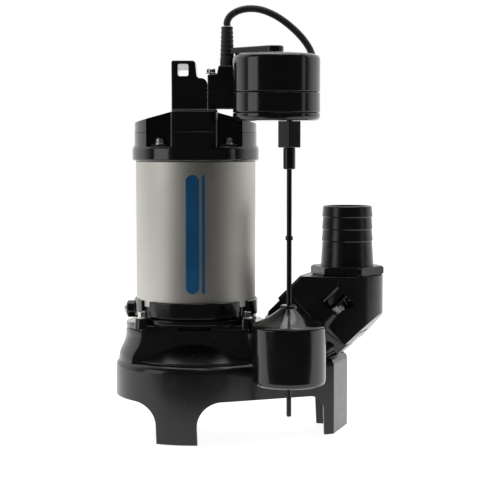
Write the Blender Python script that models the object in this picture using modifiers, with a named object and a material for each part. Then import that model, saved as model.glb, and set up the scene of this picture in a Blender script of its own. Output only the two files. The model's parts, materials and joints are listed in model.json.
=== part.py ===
"""Submersible sump pump with a rod-guided float switch, as separate real pieces.

Lengths are in millimetres here, and MM turns them into metres when a mesh is made.
Places are measured from the pump's axis: +X towards the discharge, +Y to the back,
+Z up from the floor under the legs. PUMP_AXIS puts the middle of the whole on the origin.
"""

import math

import bmesh
import bpy
from mathutils import Matrix, Vector

MM = 0.001
GAP = 0.3
MERGE = 0.00001
PUMP_AXIS = (-54.2, 23.6, 0.0)

# Base and volute
SKIRT_RADIUS = 80.0
SKIRT_TOP = 76.0
SHOULDER = 8.0
FLOOR_LOW = 40.0
FLOOR_HIGH = 47.0
LEG_WALL = 12.0
OUTLET_REACH = 137.5
OUTLET_NEAR = 22.0
OUTLET_FAR = 80.0
CASING_RADIUS = 70.0
CASING_TOP = 107.0
CASING_FRONT = -47.0
CONE = ((46.0, 94.0), (70.0, 77.0))
CHAMBER_RADIUS = 58.0
CHAMBER_TOP = 82.0
THROAT_RADIUS = 42.0
INLET_RADIUS = 27.0

# Discharge: the outlet points forward a little, and its joint is tilted 45 degrees
DISCHARGE_TURN = math.radians(-17.5)
DISCHARGE_OFFSET = 51.3
JOINT_REACH = 118.0
JOINT_HEIGHT = 115.0
JOINT_TILT = math.radians(45.0)
FLANGE_HALF_LENGTH = 40.5
FLANGE_HALF_WIDTH = 38.0
FLANGE_THICKNESS = 20.0
POCKET_END = 40.0
RISER_RADIUS = 36.0
RISER_TOP = 157.7
WATERWAY_RADIUS = 21.0
JOINT_BOLT = (9.0, 27.0)

# Motor
RING_RADIUS = 62.0
RING_TOP = 135.0
SHELL_RADIUS = 59.5
SHELL_WALL = 1.2
SHELL_LOW = 129.0
SHELL_HIGH = 271.7
SPIGOT_RADIUS = 57.8
COVER_LOW = 272.0
COVER_RADIUS = 63.0
COVER_STEP = 286.0
SHAFT_RADIUS = 7.5
BASE_BOLTS = ((-51.0, -40.5), (51.0, -40.5), (-51.0, 40.5), (51.0, 40.5))
COVER_BOLTS = ((-33.0, -38.0), (33.0, -38.0), (-33.0, 38.0), (33.0, 38.0))

# Float switch
ROD_X, ROD_Y = 91.2, -86.0
ROD_RADIUS = 2.4
ROD_LOW = 29.5
ROD_HIGH = 332.0
GUIDE_BORE = 2.9
SWITCH_X = 79.0
SWITCH_RADIUS = 41.0
SWITCH_LOW = 310.5
SWITCH_HIGH = 374.0
FLOAT_RADIUS = 35.0
FLOAT_LOW = 60.0
FLOAT_RIM = 116.0
FLOAT_TOP = 136.5
UPPER_STOP = 198.0
LEVER_X = 63.0
LEVER_Z = 334.0

# Cable between the motor and the float switch
STRAIN_X, STRAIN_Y = 32.0, -36.0
STRAIN_LOW = 364.0
STRAIN_TOP = 402.0
SWITCH_GLAND = (111.5, -50.5, 361.0)
SWITCH_GLAND_AXIS = (0.30, 0.75, 0.59)
CABLE_RADIUS = 3.4
CABLE_ROUTE = (
    (32.0, -36.0, 402.7),
    (32.2, -36.0, 407.0),
    (35.6, -36.0, 412.6),
    (43.4, -36.0, 417.2),
    (54.0, -35.8, 419.2),
    (66.0, -35.4, 417.8),
    (79.5, -34.6, 412.2),
    (92.0, -33.4, 403.6),
    (103.0, -32.2, 393.4),
    (111.0, -32.0, 382.8),
    (114.6, -35.0, 373.6),
    (114.9, -40.6, 366.9),
    (113.2, -46.2, 364.4),
    (111.7, -49.95, 361.4),
)

parts = bpy.data.collections.new("sump_pump")
cutters = bpy.data.collections.new("cutters")
root = bpy.data.objects.new("pump_axis", None)


def start_scene():
    """An empty scene with the two collections and the empty that carries every piece."""
    for obj in list(bpy.data.objects):
        if obj != root:
            bpy.data.objects.remove(obj)
    for collection in (parts, cutters):
        bpy.context.scene.collection.children.link(collection)
    parts.objects.link(root)
    root.location = Vector(PUMP_AXIS) * MM


def finish_of(name, colour, roughness, metallic=0.0):
    """A Principled material."""
    made = bpy.data.materials.new(name)
    made.use_nodes = True
    shader = made.node_tree.nodes["Principled BSDF"]
    shader.inputs["Base Color"].default_value = (*colour, 1.0)
    shader.inputs["Roughness"].default_value = roughness
    shader.inputs["Metallic"].default_value = metallic
    return made


FINISHES = {
    "casting": (0.022, 0.022, 0.024, 0.42),
    "gloss": (0.012, 0.012, 0.013, 0.16),
    "plastic": (0.016, 0.016, 0.017, 0.32),
    "rubber": (0.025, 0.025, 0.026, 0.6),
    "gasket": (0.16, 0.09, 0.05, 0.8),
    "stainless": (0.60, 0.57, 0.54, 0.32, 1.0),
    "zinc": (0.62, 0.61, 0.58, 0.3, 1.0),
    "steel": (0.45, 0.45, 0.46, 0.35, 1.0),
    "copper": (0.60, 0.27, 0.12, 0.4, 1.0),
    "ceramic": (0.75, 0.73, 0.68, 0.3),
    "label": (0.55, 0.56, 0.57, 0.4),
}


def moved(x=0.0, y=0.0, z=0.0):
    """A shift in millimetres."""
    return Matrix.Translation((x, y, z))


UPRIGHT = Matrix.Identity(4)
ALONG_X = Matrix.Rotation(math.radians(90.0), 4, "Y")
ALONG_Y = Matrix.Rotation(math.radians(-90.0), 4, "X")
FRONT_VIEW = Matrix.Rotation(math.radians(90.0), 4, "X")
DISCHARGE = Matrix.Rotation(DISCHARGE_TURN, 4, "Z")
JOINT = (
    DISCHARGE
    @ moved(JOINT_REACH, DISCHARGE_OFFSET, JOINT_HEIGHT)
    @ Matrix.Rotation(JOINT_TILT, 4, "Y")
)
RISER_BEND = 140.2
RISER_REACH = JOINT_REACH + (RISER_BEND - JOINT_HEIGHT)
RISER = DISCHARGE @ moved(RISER_REACH, DISCHARGE_OFFSET)
ROD = moved(ROD_X, ROD_Y)


def placed(obj, finish, frame):
    """Puts an object under the pump's axis; with no finish it is a cutter or a shape to join."""
    if finish is None:
        cutters.objects.link(obj)
        obj.hide_render = True
        obj.display_type = "WIRE"
    else:
        parts.objects.link(obj)
        obj.data.materials.clear()
        obj.data.materials.append(finish_of(obj.name + "_finish", *split_finish(finish)))
    obj.parent = root
    basis = frame.copy()
    basis.translation = frame.translation * MM
    obj.matrix_basis = basis
    return obj


def split_finish(name):
    """Colour, roughness and metallic value of a named finish."""
    values = FINISHES[name]
    return values[:3], values[3], values[4] if len(values) > 4 else 0.0


def meshed(name, bm, finish, frame):
    """An object from a bmesh in millimetres."""
    bmesh.ops.scale(bm, vec=(MM, MM, MM), verts=bm.verts)
    mesh = bpy.data.meshes.new(name)
    bm.to_mesh(mesh)
    bm.free()
    mesh.shade_smooth()
    mesh.set_sharp_from_angle(angle=math.radians(35.0))
    return placed(bpy.data.objects.new(name, mesh), finish, frame)


def turned(name, profile, finish=None, frame=UPRIGHT, steps=32, ring=False):
    """A turned piece; the profile runs down its outer side, and a ring's goes back up inside."""
    mesh = bpy.data.meshes.new(name)
    chain = [(i, i + 1) for i in range(len(profile) - 1)]
    if ring:
        chain.append((len(profile) - 1, 0))
    mesh.from_pydata([(r * MM, 0.0, z * MM) for r, z in profile], chain, [])
    obj = placed(bpy.data.objects.new(name, mesh), finish, frame)
    screw = obj.modifiers.new("turn", "SCREW")
    screw.steps = steps
    screw.render_steps = steps
    screw.use_merge_vertices = True
    screw.merge_threshold = MERGE
    return obj


def rod(name, radius, low, high, finish=None, frame=UPRIGHT, steps=24, bore=0.0):
    """A straight round bar, or a tube where it has a bore."""
    if bore:
        profile = [(radius, high), (radius, low), (bore, low), (bore, high)]
        return turned(name, profile, finish, frame, steps, ring=True)
    profile = [(0.0, high), (radius, high), (radius, low), (0.0, low)]
    return turned(name, profile, finish, frame, steps)


def block(name, low, high, finish=None, frame=UPRIGHT, edge=0.0):
    """A box between two corners, with rounded edges where edge is given."""
    size = Vector(high) - Vector(low)
    middle = (Vector(high) + Vector(low)) / 2.0
    bm = bmesh.new()
    bmesh.ops.create_cube(bm, size=1.0)
    bmesh.ops.scale(bm, vec=size, verts=bm.verts)
    bmesh.ops.translate(bm, vec=middle, verts=bm.verts)
    if edge:
        bmesh.ops.bevel(bm, geom=bm.edges[:], offset=edge, segments=2, profile=0.5, affect="EDGES")
    return meshed(name, bm, finish, frame)


def arc(centre, radius, first, last, count):
    """Points on an arc, by angle in degrees."""
    points = []
    for i in range(count + 1):
        angle = math.radians(first + (last - first) * i / count)
        points.append((centre[0] + radius * math.cos(angle), centre[1] + radius * math.sin(angle)))
    return points


def filleted(corners, radius, count=5):
    """An outline whose corners are rounded; radius is one number, or one for each corner."""
    radii = radius if isinstance(radius, (list, tuple)) else [radius] * len(corners)
    points = []
    for i, here in enumerate(corners):
        here = Vector(here)
        back = (Vector(corners[i - 1]) - here).normalized()
        ahead = (Vector(corners[(i + 1) % len(corners)]) - here).normalized()
        if radii[i] <= 0.0:
            points.append(tuple(here))
            continue
        half = back.angle(ahead) / 2.0
        centre = here + (back + ahead).normalized() * (radii[i] / math.sin(half))
        reach = radii[i] / math.tan(half)
        start = here + back * reach - centre
        end = here + ahead * reach - centre
        sweep = start.angle_signed(end)
        for j in range(count + 1):
            turn = Matrix.Rotation(-sweep * j / count, 2)
            points.append(tuple(centre + turn @ start))
    return points


def plate(name, outline, low, high, finish=None, frame=UPRIGHT, top=0.0, bottom=0.0, segments=3):
    """A flat outline given a thickness, with its top and bottom edges rounded where asked."""
    curve = bpy.data.curves.new(name + "_outline", "CURVE")
    curve.dimensions = "2D"
    curve.fill_mode = "BOTH"
    curve.extrude = (high - low) / 2.0
    spline = curve.splines.new("POLY")
    spline.points.add(len(outline) - 1)
    for point, (x, y) in zip(spline.points, outline):
        point.co = (x, y, 0.0, 1.0)
    spline.use_cyclic_u = True
    flat = bpy.data.objects.new(name + "_outline", curve)
    cutters.objects.link(flat)
    graph = bpy.context.evaluated_depsgraph_get()
    mesh = bpy.data.meshes.new_from_object(flat.evaluated_get(graph))
    bpy.data.objects.remove(flat)
    bm = bmesh.new()
    bm.from_mesh(mesh)
    bmesh.ops.remove_doubles(bm, verts=bm.verts, dist=0.001)
    bmesh.ops.dissolve_limit(bm, angle_limit=0.001, verts=bm.verts, edges=bm.edges)
    bmesh.ops.recalc_face_normals(bm, faces=bm.faces)
    bmesh.ops.translate(bm, vec=(0.0, 0.0, (high + low) / 2.0), verts=bm.verts)
    for width, level in ((top, high), (bottom, low)):
        if width:
            rim = [e for e in bm.edges if all(abs(v.co.z - level) < 0.01 for v in e.verts)]
            bmesh.ops.bevel(bm, geom=rim, offset=width, segments=segments, profile=0.5, affect="EDGES")
    return meshed(name, bm, finish, frame)


def combine(target, how, others):
    """Boolean modifiers on target, one for each of the others."""
    for other in others:
        step = target.modifiers.new(other.name, "BOOLEAN")
        step.operation = how
        step.object = other
    return target


def cut(target, *others):
    """Takes the others away from target."""
    return combine(target, "DIFFERENCE", others)


def join(target, *others):
    """Adds the others to target as one solid."""
    return combine(target, "UNION", others)


def hexagon(radius, turn=0.0):
    """Corners of a hexagon; radius is to a corner."""
    return arc((0.0, 0.0), radius, turn, turn + 300.0, 5)


def hex_bolt(name, frame, shank_radius, shank_length, across, head_height, flange_radius):
    """A hexagon bolt with a round flange; its seat is at height 0 in its frame."""
    corner = across / math.sqrt(3.0)
    profile = [
        (0.0, 1.4),
        (flange_radius, 0.9),
        (flange_radius, 0.0),
        (shank_radius, 0.0),
        (shank_radius, -shank_length),
        (0.0, -shank_length),
    ]
    bolt = turned(name, profile, "zinc", frame, 14)
    head = plate(name + "_head", hexagon(corner, 12.0), 0.7, head_height, None, frame)
    return join(bolt, head)


# ---- base, discharge and impeller -------------------------------------------------------------


def skirt_outline(radius, reach, near, far, corner):
    """Plan outline of the volute in the discharge frame: a circle run out to the outlet block."""
    span = math.hypot(reach, near)
    first = math.degrees(math.atan2(near, reach) - math.acos(radius / span))
    circle = arc((0.0, 0.0), radius, 90.0, 360.0 + first, 32)
    square = [(0.0, radius), circle[-1], (reach, near), (reach, far)]
    corners = filleted(square, [0.0, 0.0, corner, corner])
    return circle[:-1] + corners[1:]


def casing_outline(radius, front, count=24):
    """A circle with its front cut off flat."""
    half = math.degrees(math.asin(-front / radius))
    return arc((0.0, 0.0), radius, -half, 180.0 + half, count)


def flange_outline(half_length, half_width):
    """Joint flange: square at the top, its lower corners drawn in past the bolt ears."""
    near = [
        (-half_length, half_width),
        (-half_length, -half_width),
        (half_length * 0.27, -half_width),
        (half_length, -half_width * 0.45),
        (half_length, half_width * 0.45),
        (half_length * 0.27, half_width),
    ]
    return filleted(near, [3.0, 3.0, 9.0, 4.0, 4.0, 9.0])


def arch_cutters():
    """Solids that open the base between its legs, as front views run along Y."""
    crown = FLOOR_LOW + 1.5
    low = -5.0
    front = [(4.0, low), (128.0, low), (127.0, crown - 2.0), (2.0, crown)]
    back = [(-6.0, low), (123.0, low), (121.0, crown), (-6.0, crown)]
    side = [(-220.0, low), (-36.0, low), (-37.5, crown - 3.0), (-220.0, crown + 1.0)]
    side_back = [(-220.0, low), (-40.0, low), (-41.0, crown - 3.0), (-220.0, crown + 1.0)]
    # FRONT_VIEW turns the outline's depth to -Y
    return (
        plate("arch_front", filleted(front, [0.0, 0.0, 14.0, 24.0], 7), -5.0, 120.0, None, FRONT_VIEW),
        plate("arch_back", filleted(back, [0.0, 0.0, 16.0, 20.0], 7), -120.0, 5.0, None, FRONT_VIEW),
        plate("arch_side", filleted(side, [0.0, 0.0, 22.0, 0.0], 7), -5.0, 120.0, None, FRONT_VIEW),
        plate("arch_side_back", filleted(side_back, [0.0, 0.0, 22.0, 0.0], 7), -120.0, 5.0, None, FRONT_VIEW),
    )


def make_base():
    """Base casting: skirt and legs, volute casing, outlet block and tilted joint flange."""
    outline = skirt_outline(SKIRT_RADIUS, OUTLET_REACH, OUTLET_NEAR, OUTLET_FAR, 3.0)
    base = plate("pump_base", outline, 0.0, SKIRT_TOP, "casting", DISCHARGE, top=SHOULDER, segments=4)
    hollow = skirt_outline(
        SKIRT_RADIUS - LEG_WALL, OUTLET_REACH - 10.0, OUTLET_NEAR + 9.0, OUTLET_FAR - 9.0, 6.0
    )
    under = plate("under_floor", hollow, -5.0, FLOOR_LOW, None, DISCHARGE)
    cut(base, under, *arch_cutters())

    flare = [
        (0.0, CASING_TOP),
        (CASING_RADIUS, CASING_TOP),
        (CASING_RADIUS, 98.0),
        (72.5, 90.0),
        (76.5, 82.5),
        (77.5, 74.0),
        (77.5, 60.0),
        (0.0, 60.0),
    ]
    casing = turned("casing_flare", flare, steps=40)
    cut(casing, block("casing_front", (-90.0, -100.0, 50.0), (90.0, CASING_FRONT, 120.0)))
    cone = turned("casing_cone", [(0.0, CONE[0][1]), CONE[0], CONE[1], (70.0, 60.0), (0.0, 60.0)], steps=40)

    flange = plate("outlet_flange", flange_outline(FLANGE_HALF_LENGTH, FLANGE_HALF_WIDTH),
                   -12.0, -0.6, None, JOINT, bottom=1.0, segments=1)
    neck = block("outlet_neck", (1.5 - FLANGE_HALF_LENGTH, -29.0, -80.0), (34.0, 29.0, -6.0),
                 None, JOINT, 3.0)
    cut(neck, block("neck_floor", (-60.0, -20.0, -60.0), (260.0, 120.0, 50.0), None, DISCHARGE))
    cut(neck, block("neck_face", (OUTLET_REACH, -20.0, -60.0), (260.0, 120.0, 200.0), None, DISCHARGE))
    cut(flange, block("flange_face", (OUTLET_REACH + 10.0, -20.0, -60.0), (260.0, 120.0, 200.0),
                      None, DISCHARGE))
    clearance = rod("ring_clearance", CASING_RADIUS + 2.5, CASING_TOP - 0.2, 170.0, steps=40)
    cut(neck, clearance)
    cut(flange, clearance)
    join(base, casing, cone, neck, flange)

    chamber = turned("chamber", [
        (0.0, CASING_TOP + 5.0), (THROAT_RADIUS, CASING_TOP + 5.0), (THROAT_RADIUS, CHAMBER_TOP),
        (CHAMBER_RADIUS, CHAMBER_TOP), (CHAMBER_RADIUS, FLOOR_HIGH), (INLET_RADIUS, FLOOR_HIGH),
        (INLET_RADIUS, FLOOR_LOW - 5.0), (0.0, FLOOR_LOW - 5.0),
    ], None, Matrix.Rotation(math.radians(2.0), 4, "Z"), 36)
    passage = block("passage", (-5.0, 34.0, FLOOR_HIGH + 2.0), (66.0, 69.0, CHAMBER_TOP - 4.5),
                    None, DISCHARGE)
    waterway = rod("waterway", WATERWAY_RADIUS, -82.0, 5.0, None, JOINT)
    cut(base, chamber, passage, waterway)
    for i, (x, y) in enumerate(BASE_BOLTS):
        cut(base, rod(f"base_bolt_hole_{i}", 2.8, 86.0, 120.0, None, moved(x, y), 8))
    for i, side in enumerate((-1.0, 1.0)):
        hole = moved(JOINT_BOLT[0], side * JOINT_BOLT[1])
        cut(base, rod(f"joint_bolt_hole_{i}", 4.3, -20.0, 2.0, None, JOINT @ hole, 10))
    return base


def make_inlet():
    """Wear ring in the suction eye."""
    ring = [
        (INLET_RADIUS + 6.0, FLOOR_LOW - GAP),
        (INLET_RADIUS + 6.0, FLOOR_LOW - 4.0),
        (22.0, FLOOR_LOW - 4.0),
        (20.0, FLOOR_LOW - 1.0),
        (20.0, FLOOR_HIGH + 3.0),
        (INLET_RADIUS - GAP, FLOOR_HIGH + 3.0),
        (INLET_RADIUS - GAP, FLOOR_LOW - GAP),
    ]
    turned("suction_ring", ring, "plastic", steps=32, ring=True)


def make_elbow():
    """Discharge elbow: a flange on the tilted joint, a flat-sided shoulder and an upright riser."""
    elbow = plate("discharge_elbow", flange_outline(FLANGE_HALF_LENGTH, FLANGE_HALF_WIDTH),
                  0.6, FLANGE_THICKNESS, "casting", JOINT, top=1.0, segments=1)
    inset = 0.15
    shoulder = block("elbow_shoulder", (inset - FLANGE_HALF_LENGTH, inset - FLANGE_HALF_WIDTH, 4.0),
                     (-4.0, FLANGE_HALF_WIDTH - inset, 90.0), None, JOINT, 3.0)
    cut(shoulder, block("shoulder_top", (0.0, -60.0, RISER_TOP), (300.0, 160.0, 260.0), None, DISCHARGE))
    cut(shoulder, block("shoulder_side", (RISER_REACH, -60.0, 0.0), (300.0, 160.0, 260.0), None, DISCHARGE))
    riser = rod("elbow_riser", RISER_RADIUS, 60.0, RISER_TOP, None, RISER, 48)
    cut(riser, block("riser_joint", (-150.0, -90.0, -120.0), (150.0, 90.0, 5.0), None, JOINT))
    cut(riser, block("riser_heel", (FLANGE_HALF_LENGTH - inset, -90.0, -150.0), (150.0, 90.0, 150.0),
                     None, JOINT))
    join(elbow, shoulder, riser)
    along = (RISER_BEND - JOINT_HEIGHT) / math.cos(JOINT_TILT)
    waterway = rod("elbow_waterway", WATERWAY_RADIUS, -5.0, along + 12.0, None, JOINT)
    upright = turned("elbow_upright", [
        (0.0, 170.0), (27.3, 170.0), (27.3, 146.7), (WATERWAY_RADIUS, 146.7),
        (WATERWAY_RADIUS, RISER_BEND - 9.0), (0.0, RISER_BEND - 9.0),
    ], None, RISER, 28)
    cut(elbow, waterway, upright)
    for i, side in enumerate((-1.0, 1.0)):
        hole = moved(JOINT_BOLT[0], side * JOINT_BOLT[1])
        cut(elbow, rod(f"elbow_bolt_hole_{i}", 4.3, -2.0, 30.0, None, JOINT @ hole, 10))
        cut(elbow, rod(f"elbow_bolt_pocket_{i}", 10.5, FLANGE_THICKNESS + 0.05, POCKET_END, None,
                       JOINT @ hole, 16))


def make_joint_parts():
    """Gasket, bolts and hose tail of the discharge."""
    inner = 27.0
    gasket = plate("elbow_gasket", flange_outline(FLANGE_HALF_LENGTH - 0.5, FLANGE_HALF_WIDTH - 0.5),
                   -GAP, GAP, "gasket", JOINT)
    cut(gasket, rod("gasket_bore", WATERWAY_RADIUS + 0.5, -5.0, 5.0, None, JOINT))
    for i, side in enumerate((-1.0, 1.0)):
        hole = moved(JOINT_BOLT[0], side * JOINT_BOLT[1])
        cut(gasket, rod(f"gasket_hole_{i}", 4.6, -5.0, 5.0, None, JOINT @ hole, 10))
        seat = moved(z=FLANGE_THICKNESS + GAP)
        hex_bolt(f"elbow_bolt_{i + 1}", JOINT @ hole @ seat, 3.9, 38.0, 13.0, 6.6, 8.2)

    barbs = [
        (0.0, 226.6),
        (23.7, 226.6),
        (24.3, 226.0),
        (25.2, 216.4),
        (24.3, 215.4),
        (25.3, 204.0),
        (24.6, 203.0),
        (25.6, 192.2),
        (24.9, 191.2),
        (26.5, 167.0),
        (26.5, 160.0),
        (inner, 158.0),
        (inner, 147.2),
        (0.0, 147.2),
    ]
    tail = turned("hose_tail", barbs, "plastic", RISER, 28)
    nut = plate("hose_tail_hexagon", hexagon(37.0, -11.0 - math.degrees(DISCHARGE_TURN)), 158.0, 166.8,
                None, RISER, top=0.8, bottom=0.8, segments=1)
    join(tail, nut)
    cut(tail, rod("hose_tail_bore", 20.5, 140.0, 240.0, None, RISER, 24))


def make_impeller():
    """Semi-open impeller and the nut that holds it."""
    impeller = turned("impeller", [
        (SHAFT_RADIUS + 4.5, 80.5),
        (SHAFT_RADIUS + 4.5, 76.0),
        (39.0, 74.5),
        (39.0, 71.5),
        (13.0, 69.0),
        (11.0, 57.5),
        (6.4, 57.5),
        (6.4, 80.5),
    ], "plastic", steps=24, ring=True)
    for i in range(6):
        vane = Matrix.Rotation(math.radians(60.0 * i), 4, "Z") @ moved(10.0, 0.0, 0.0)
        lean = Matrix.Rotation(math.radians(-28.0), 4, "Z")
        join(impeller, block(f"vane_{i}", (-1.0, -1.5, 58.5), (27.0, 1.5, 73.0), None, vane @ lean))
    nut = plate("impeller_nut", hexagon(7.5), 50.5, 57.0, "zinc", top=0.6, bottom=0.6, segments=1)
    cut(nut, rod("impeller_nut_bore", 4.4, 40.0, 60.0, steps=16))


# ---- motor --------------------------------------------------------------------------------------


def make_bracket():
    """Oil chamber housing between the volute and the motor, with four bolt ears and a plug boss."""
    chamber = 40.0
    profile = [
        (RING_RADIUS, RING_TOP - 0.6),
        (RING_RADIUS, 120.0),
        (58.0, 119.2),
        (60.8, 117.0),
        (60.8, 113.2),
        (58.0, 111.0),
        (THROAT_RADIUS - GAP, 111.0),
        (THROAT_RADIUS - GAP, 93.0),
        (15.6, 93.0),
        (15.6, 101.0),
        (9.0, 101.0),
        (9.0, 106.0),
        (chamber, 106.0),
        (chamber, 129.0),
        (9.0, 129.0),
        (9.0, 134.0),
        (17.9, 134.0),
        (17.9, 145.0),
        (24.0, 145.0),
        (24.0, 135.0),
        (SPIGOT_RADIUS, 135.0),
        (SPIGOT_RADIUS, 132.6),
        (SPIGOT_RADIUS - 2.1, 132.6),
        (SPIGOT_RADIUS - 2.1, 130.2),
        (SPIGOT_RADIUS, 130.2),
        (SPIGOT_RADIUS, 128.6),
        (60.0, 128.6),
        (60.0, RING_TOP),
        (RING_RADIUS - 0.6, RING_TOP),
    ]
    bracket = turned("motor_bracket", profile, "gloss", steps=32, ring=True)
    flange = plate("bracket_flange", casing_outline(CASING_RADIUS, CASING_FRONT - 0.5), CASING_TOP + GAP,
                   112.0)
    cut(flange, rod("flange_bore", 50.0, 90.0, 125.0))
    boss = turned("plug_boss", [(0.0, 69.0), (7.6, 69.0), (8.5, 68.0), (8.5, 60.6), (0.0, 60.6)],
                  None, moved(z=123.5) @ Matrix.Rotation(math.radians(-90.0), 4, "Y"), 16)
    join(bracket, flange, boss)
    for i, (x, y) in enumerate(BASE_BOLTS):
        here = moved(x, y)
        cut(bracket, rod(f"ear_pocket_{i}", 7.4, 118.2, 150.0, None, here, 14))
        ear = turned(f"bolt_ear_{i}", [(0.0, 118.2), (7.2, 118.2), (8.4, 108.0), (0.0, 108.0)],
                     None, here, 14)
        join(bracket, ear)
        cut(bracket, rod(f"ear_hole_{i}", 2.8, 100.0, 130.0, None, here, 8))
    drill = moved(z=123.5) @ Matrix.Rotation(math.radians(-90.0), 4, "Y")
    cut(bracket, rod("plug_hole", 4.7, 30.0, 80.0, None, drill, 12))

    plug = turned("oil_plug", [
        (0.0, 72.0), (3.2, 72.0), (4.0, 71.4), (4.0, 70.4), (5.4, 70.4), (6.2, 69.8), (6.2, 69.3),
        (4.4, 69.3), (4.4, 58.5), (4.0, 58.0), (0.0, 58.0),
    ], "zinc", drill, 16)
    cut(plug, block("plug_slot", (-0.6, -5.0, 71.0), (0.6, 5.0, 75.0), None, drill))


def make_shell():
    """Motor shell with its two sealing rings."""
    wall = [
        (SHELL_RADIUS, SHELL_HIGH),
        (SHELL_RADIUS, SHELL_LOW),
        (SHELL_RADIUS - SHELL_WALL, SHELL_LOW),
        (SHELL_RADIUS - SHELL_WALL, SHELL_HIGH),
    ]
    turned("motor_shell", wall, "stainless", steps=40, ring=True)
    for name, height, steps in (("lower_o_ring", 131.4, 32), ("upper_o_ring", 268.8, 36)):
        ring = [(r, height + z) for r, z in arc((SPIGOT_RADIUS - 0.95, 0.0), 0.85, 90.0, -180.0, 3)]
        turned(name, ring, "rubber", steps=steps, ring=True)


def roof_cutter():
    """What lies above the cover's roof, whose two sides rise to the middle."""
    roof = [(-80.0, 303.0), (-61.0, 309.5), (-20.0, 320.0), (20.0, 320.0), (59.0, 309.5), (80.0, 303.0),
            (80.0, 350.0), (-80.0, 350.0)]
    return plate("roof", roof, -90.0, 90.0, None, FRONT_VIEW)


def make_cover():
    """Top cover: flange, crown with four bolt pockets, column and lifting eye."""
    rim = [
        (0.0, 300.0),
        (60.8, 300.0),
        (60.8, COVER_STEP + 1.0),
        (COVER_RADIUS, COVER_STEP - 2.0),
        (COVER_RADIUS, COVER_LOW + 1.2),
        (COVER_RADIUS - 1.2, COVER_LOW),
        (SPIGOT_RADIUS, COVER_LOW),
        (SPIGOT_RADIUS, 270.0),
        (SPIGOT_RADIUS - 2.0, 270.0),
        (SPIGOT_RADIUS - 2.0, 267.6),
        (SPIGOT_RADIUS, 267.6),
        (SPIGOT_RADIUS, 266.4),
        (0.0, 266.4),
    ]
    cover = turned("top_cover", rim, "gloss", steps=36)
    crown = rod("crown", 60.6, 290.0, 322.0, steps=36)
    cut(crown, roof_cutter())
    pad = COVER_STEP + 2.0
    join(cover, crown)
    for i, (side, way) in enumerate(((-1, -1), (1, -1), (-1, 1), (1, 1))):
        low = (min(side * 22.0, side * 46.5), min(way * 27.0, way * 80.0), COVER_STEP)
        high = (max(side * 22.0, side * 46.5), max(way * 27.0, way * 80.0), 330.0)
        cut(cover, block(f"pocket_{i}", low, high))
        x, y = side * 33.0, way * 38.0
        join(cover, block(f"pad_{i}", (x - 8.0, y - 8.0, 280.0), (x + 8.0, y + 8.0, pad)))
        cut(cover, rod(f"cover_hole_{i}", 2.8, 250.0, 300.0, None, moved(x, y), 8))
    column = block("column", (-21.0, -55.0, 284.0), (23.0, 30.0, 322.0), None, UPRIGHT, 2.0)
    shape = filleted([(-21.2, 300.0), (13.0, 300.0), (13.0, 352.0), (3.0, 352.0), (1.5, 368.6),
                      (-21.4, 368.6)], [0.0, 0.0, 6.0, 3.5, 3.0, 2.0], 4)
    eye = plate("eye", shape, 14.0, 52.0, None, FRONT_VIEW, top=1.2, bottom=1.2, segments=1)
    join(cover, column, eye)
    slot = filleted([(-15.2, 352.5), (-5.0, 352.5), (-5.0, 364.0), (-15.2, 364.0)], 1.8, 3)
    # the slot falls towards the back
    eye_hole = plate("eye_hole", [(x, z - 358.0) for x, z in slot], -40.0, 40.0, None,
                     moved(y=-33.0, z=357.0) @ Matrix.Rotation(math.radians(-7.0), 4, "X") @ FRONT_VIEW)
    cut(cover, eye_hole)
    cavity = rod("cavity", 44.0, 271.0, 283.0)
    mouth = rod("mouth", 54.0, 250.0, 271.5, steps=32)
    box = block("terminal_space", (-52.0, -20.0, 280.0), (52.0, 20.0, 304.0), None, UPRIGHT)
    cut(cover, mouth, cavity, box)
    lead_way = rod("lead_way", 4.0, 300.0, 340.0, None, moved(STRAIN_X, STRAIN_Y + 20.0), 12)
    cut(cover, lead_way)


def make_fasteners():
    """Bolts of the base and of the cover."""
    for i, (x, y) in enumerate(BASE_BOLTS):
        hex_bolt(f"base_bolt_{i + 1}", moved(x, y, 118.2 + GAP), 2.5, 30.0, 8.0, 6.4, 5.6)
    for i, (x, y) in enumerate(COVER_BOLTS):
        hex_bolt(f"cover_bolt_{i + 1}", moved(x, y, COVER_STEP + 2.0 + GAP), 2.5, 30.0, 8.0, 5.8, 5.6)


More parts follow.
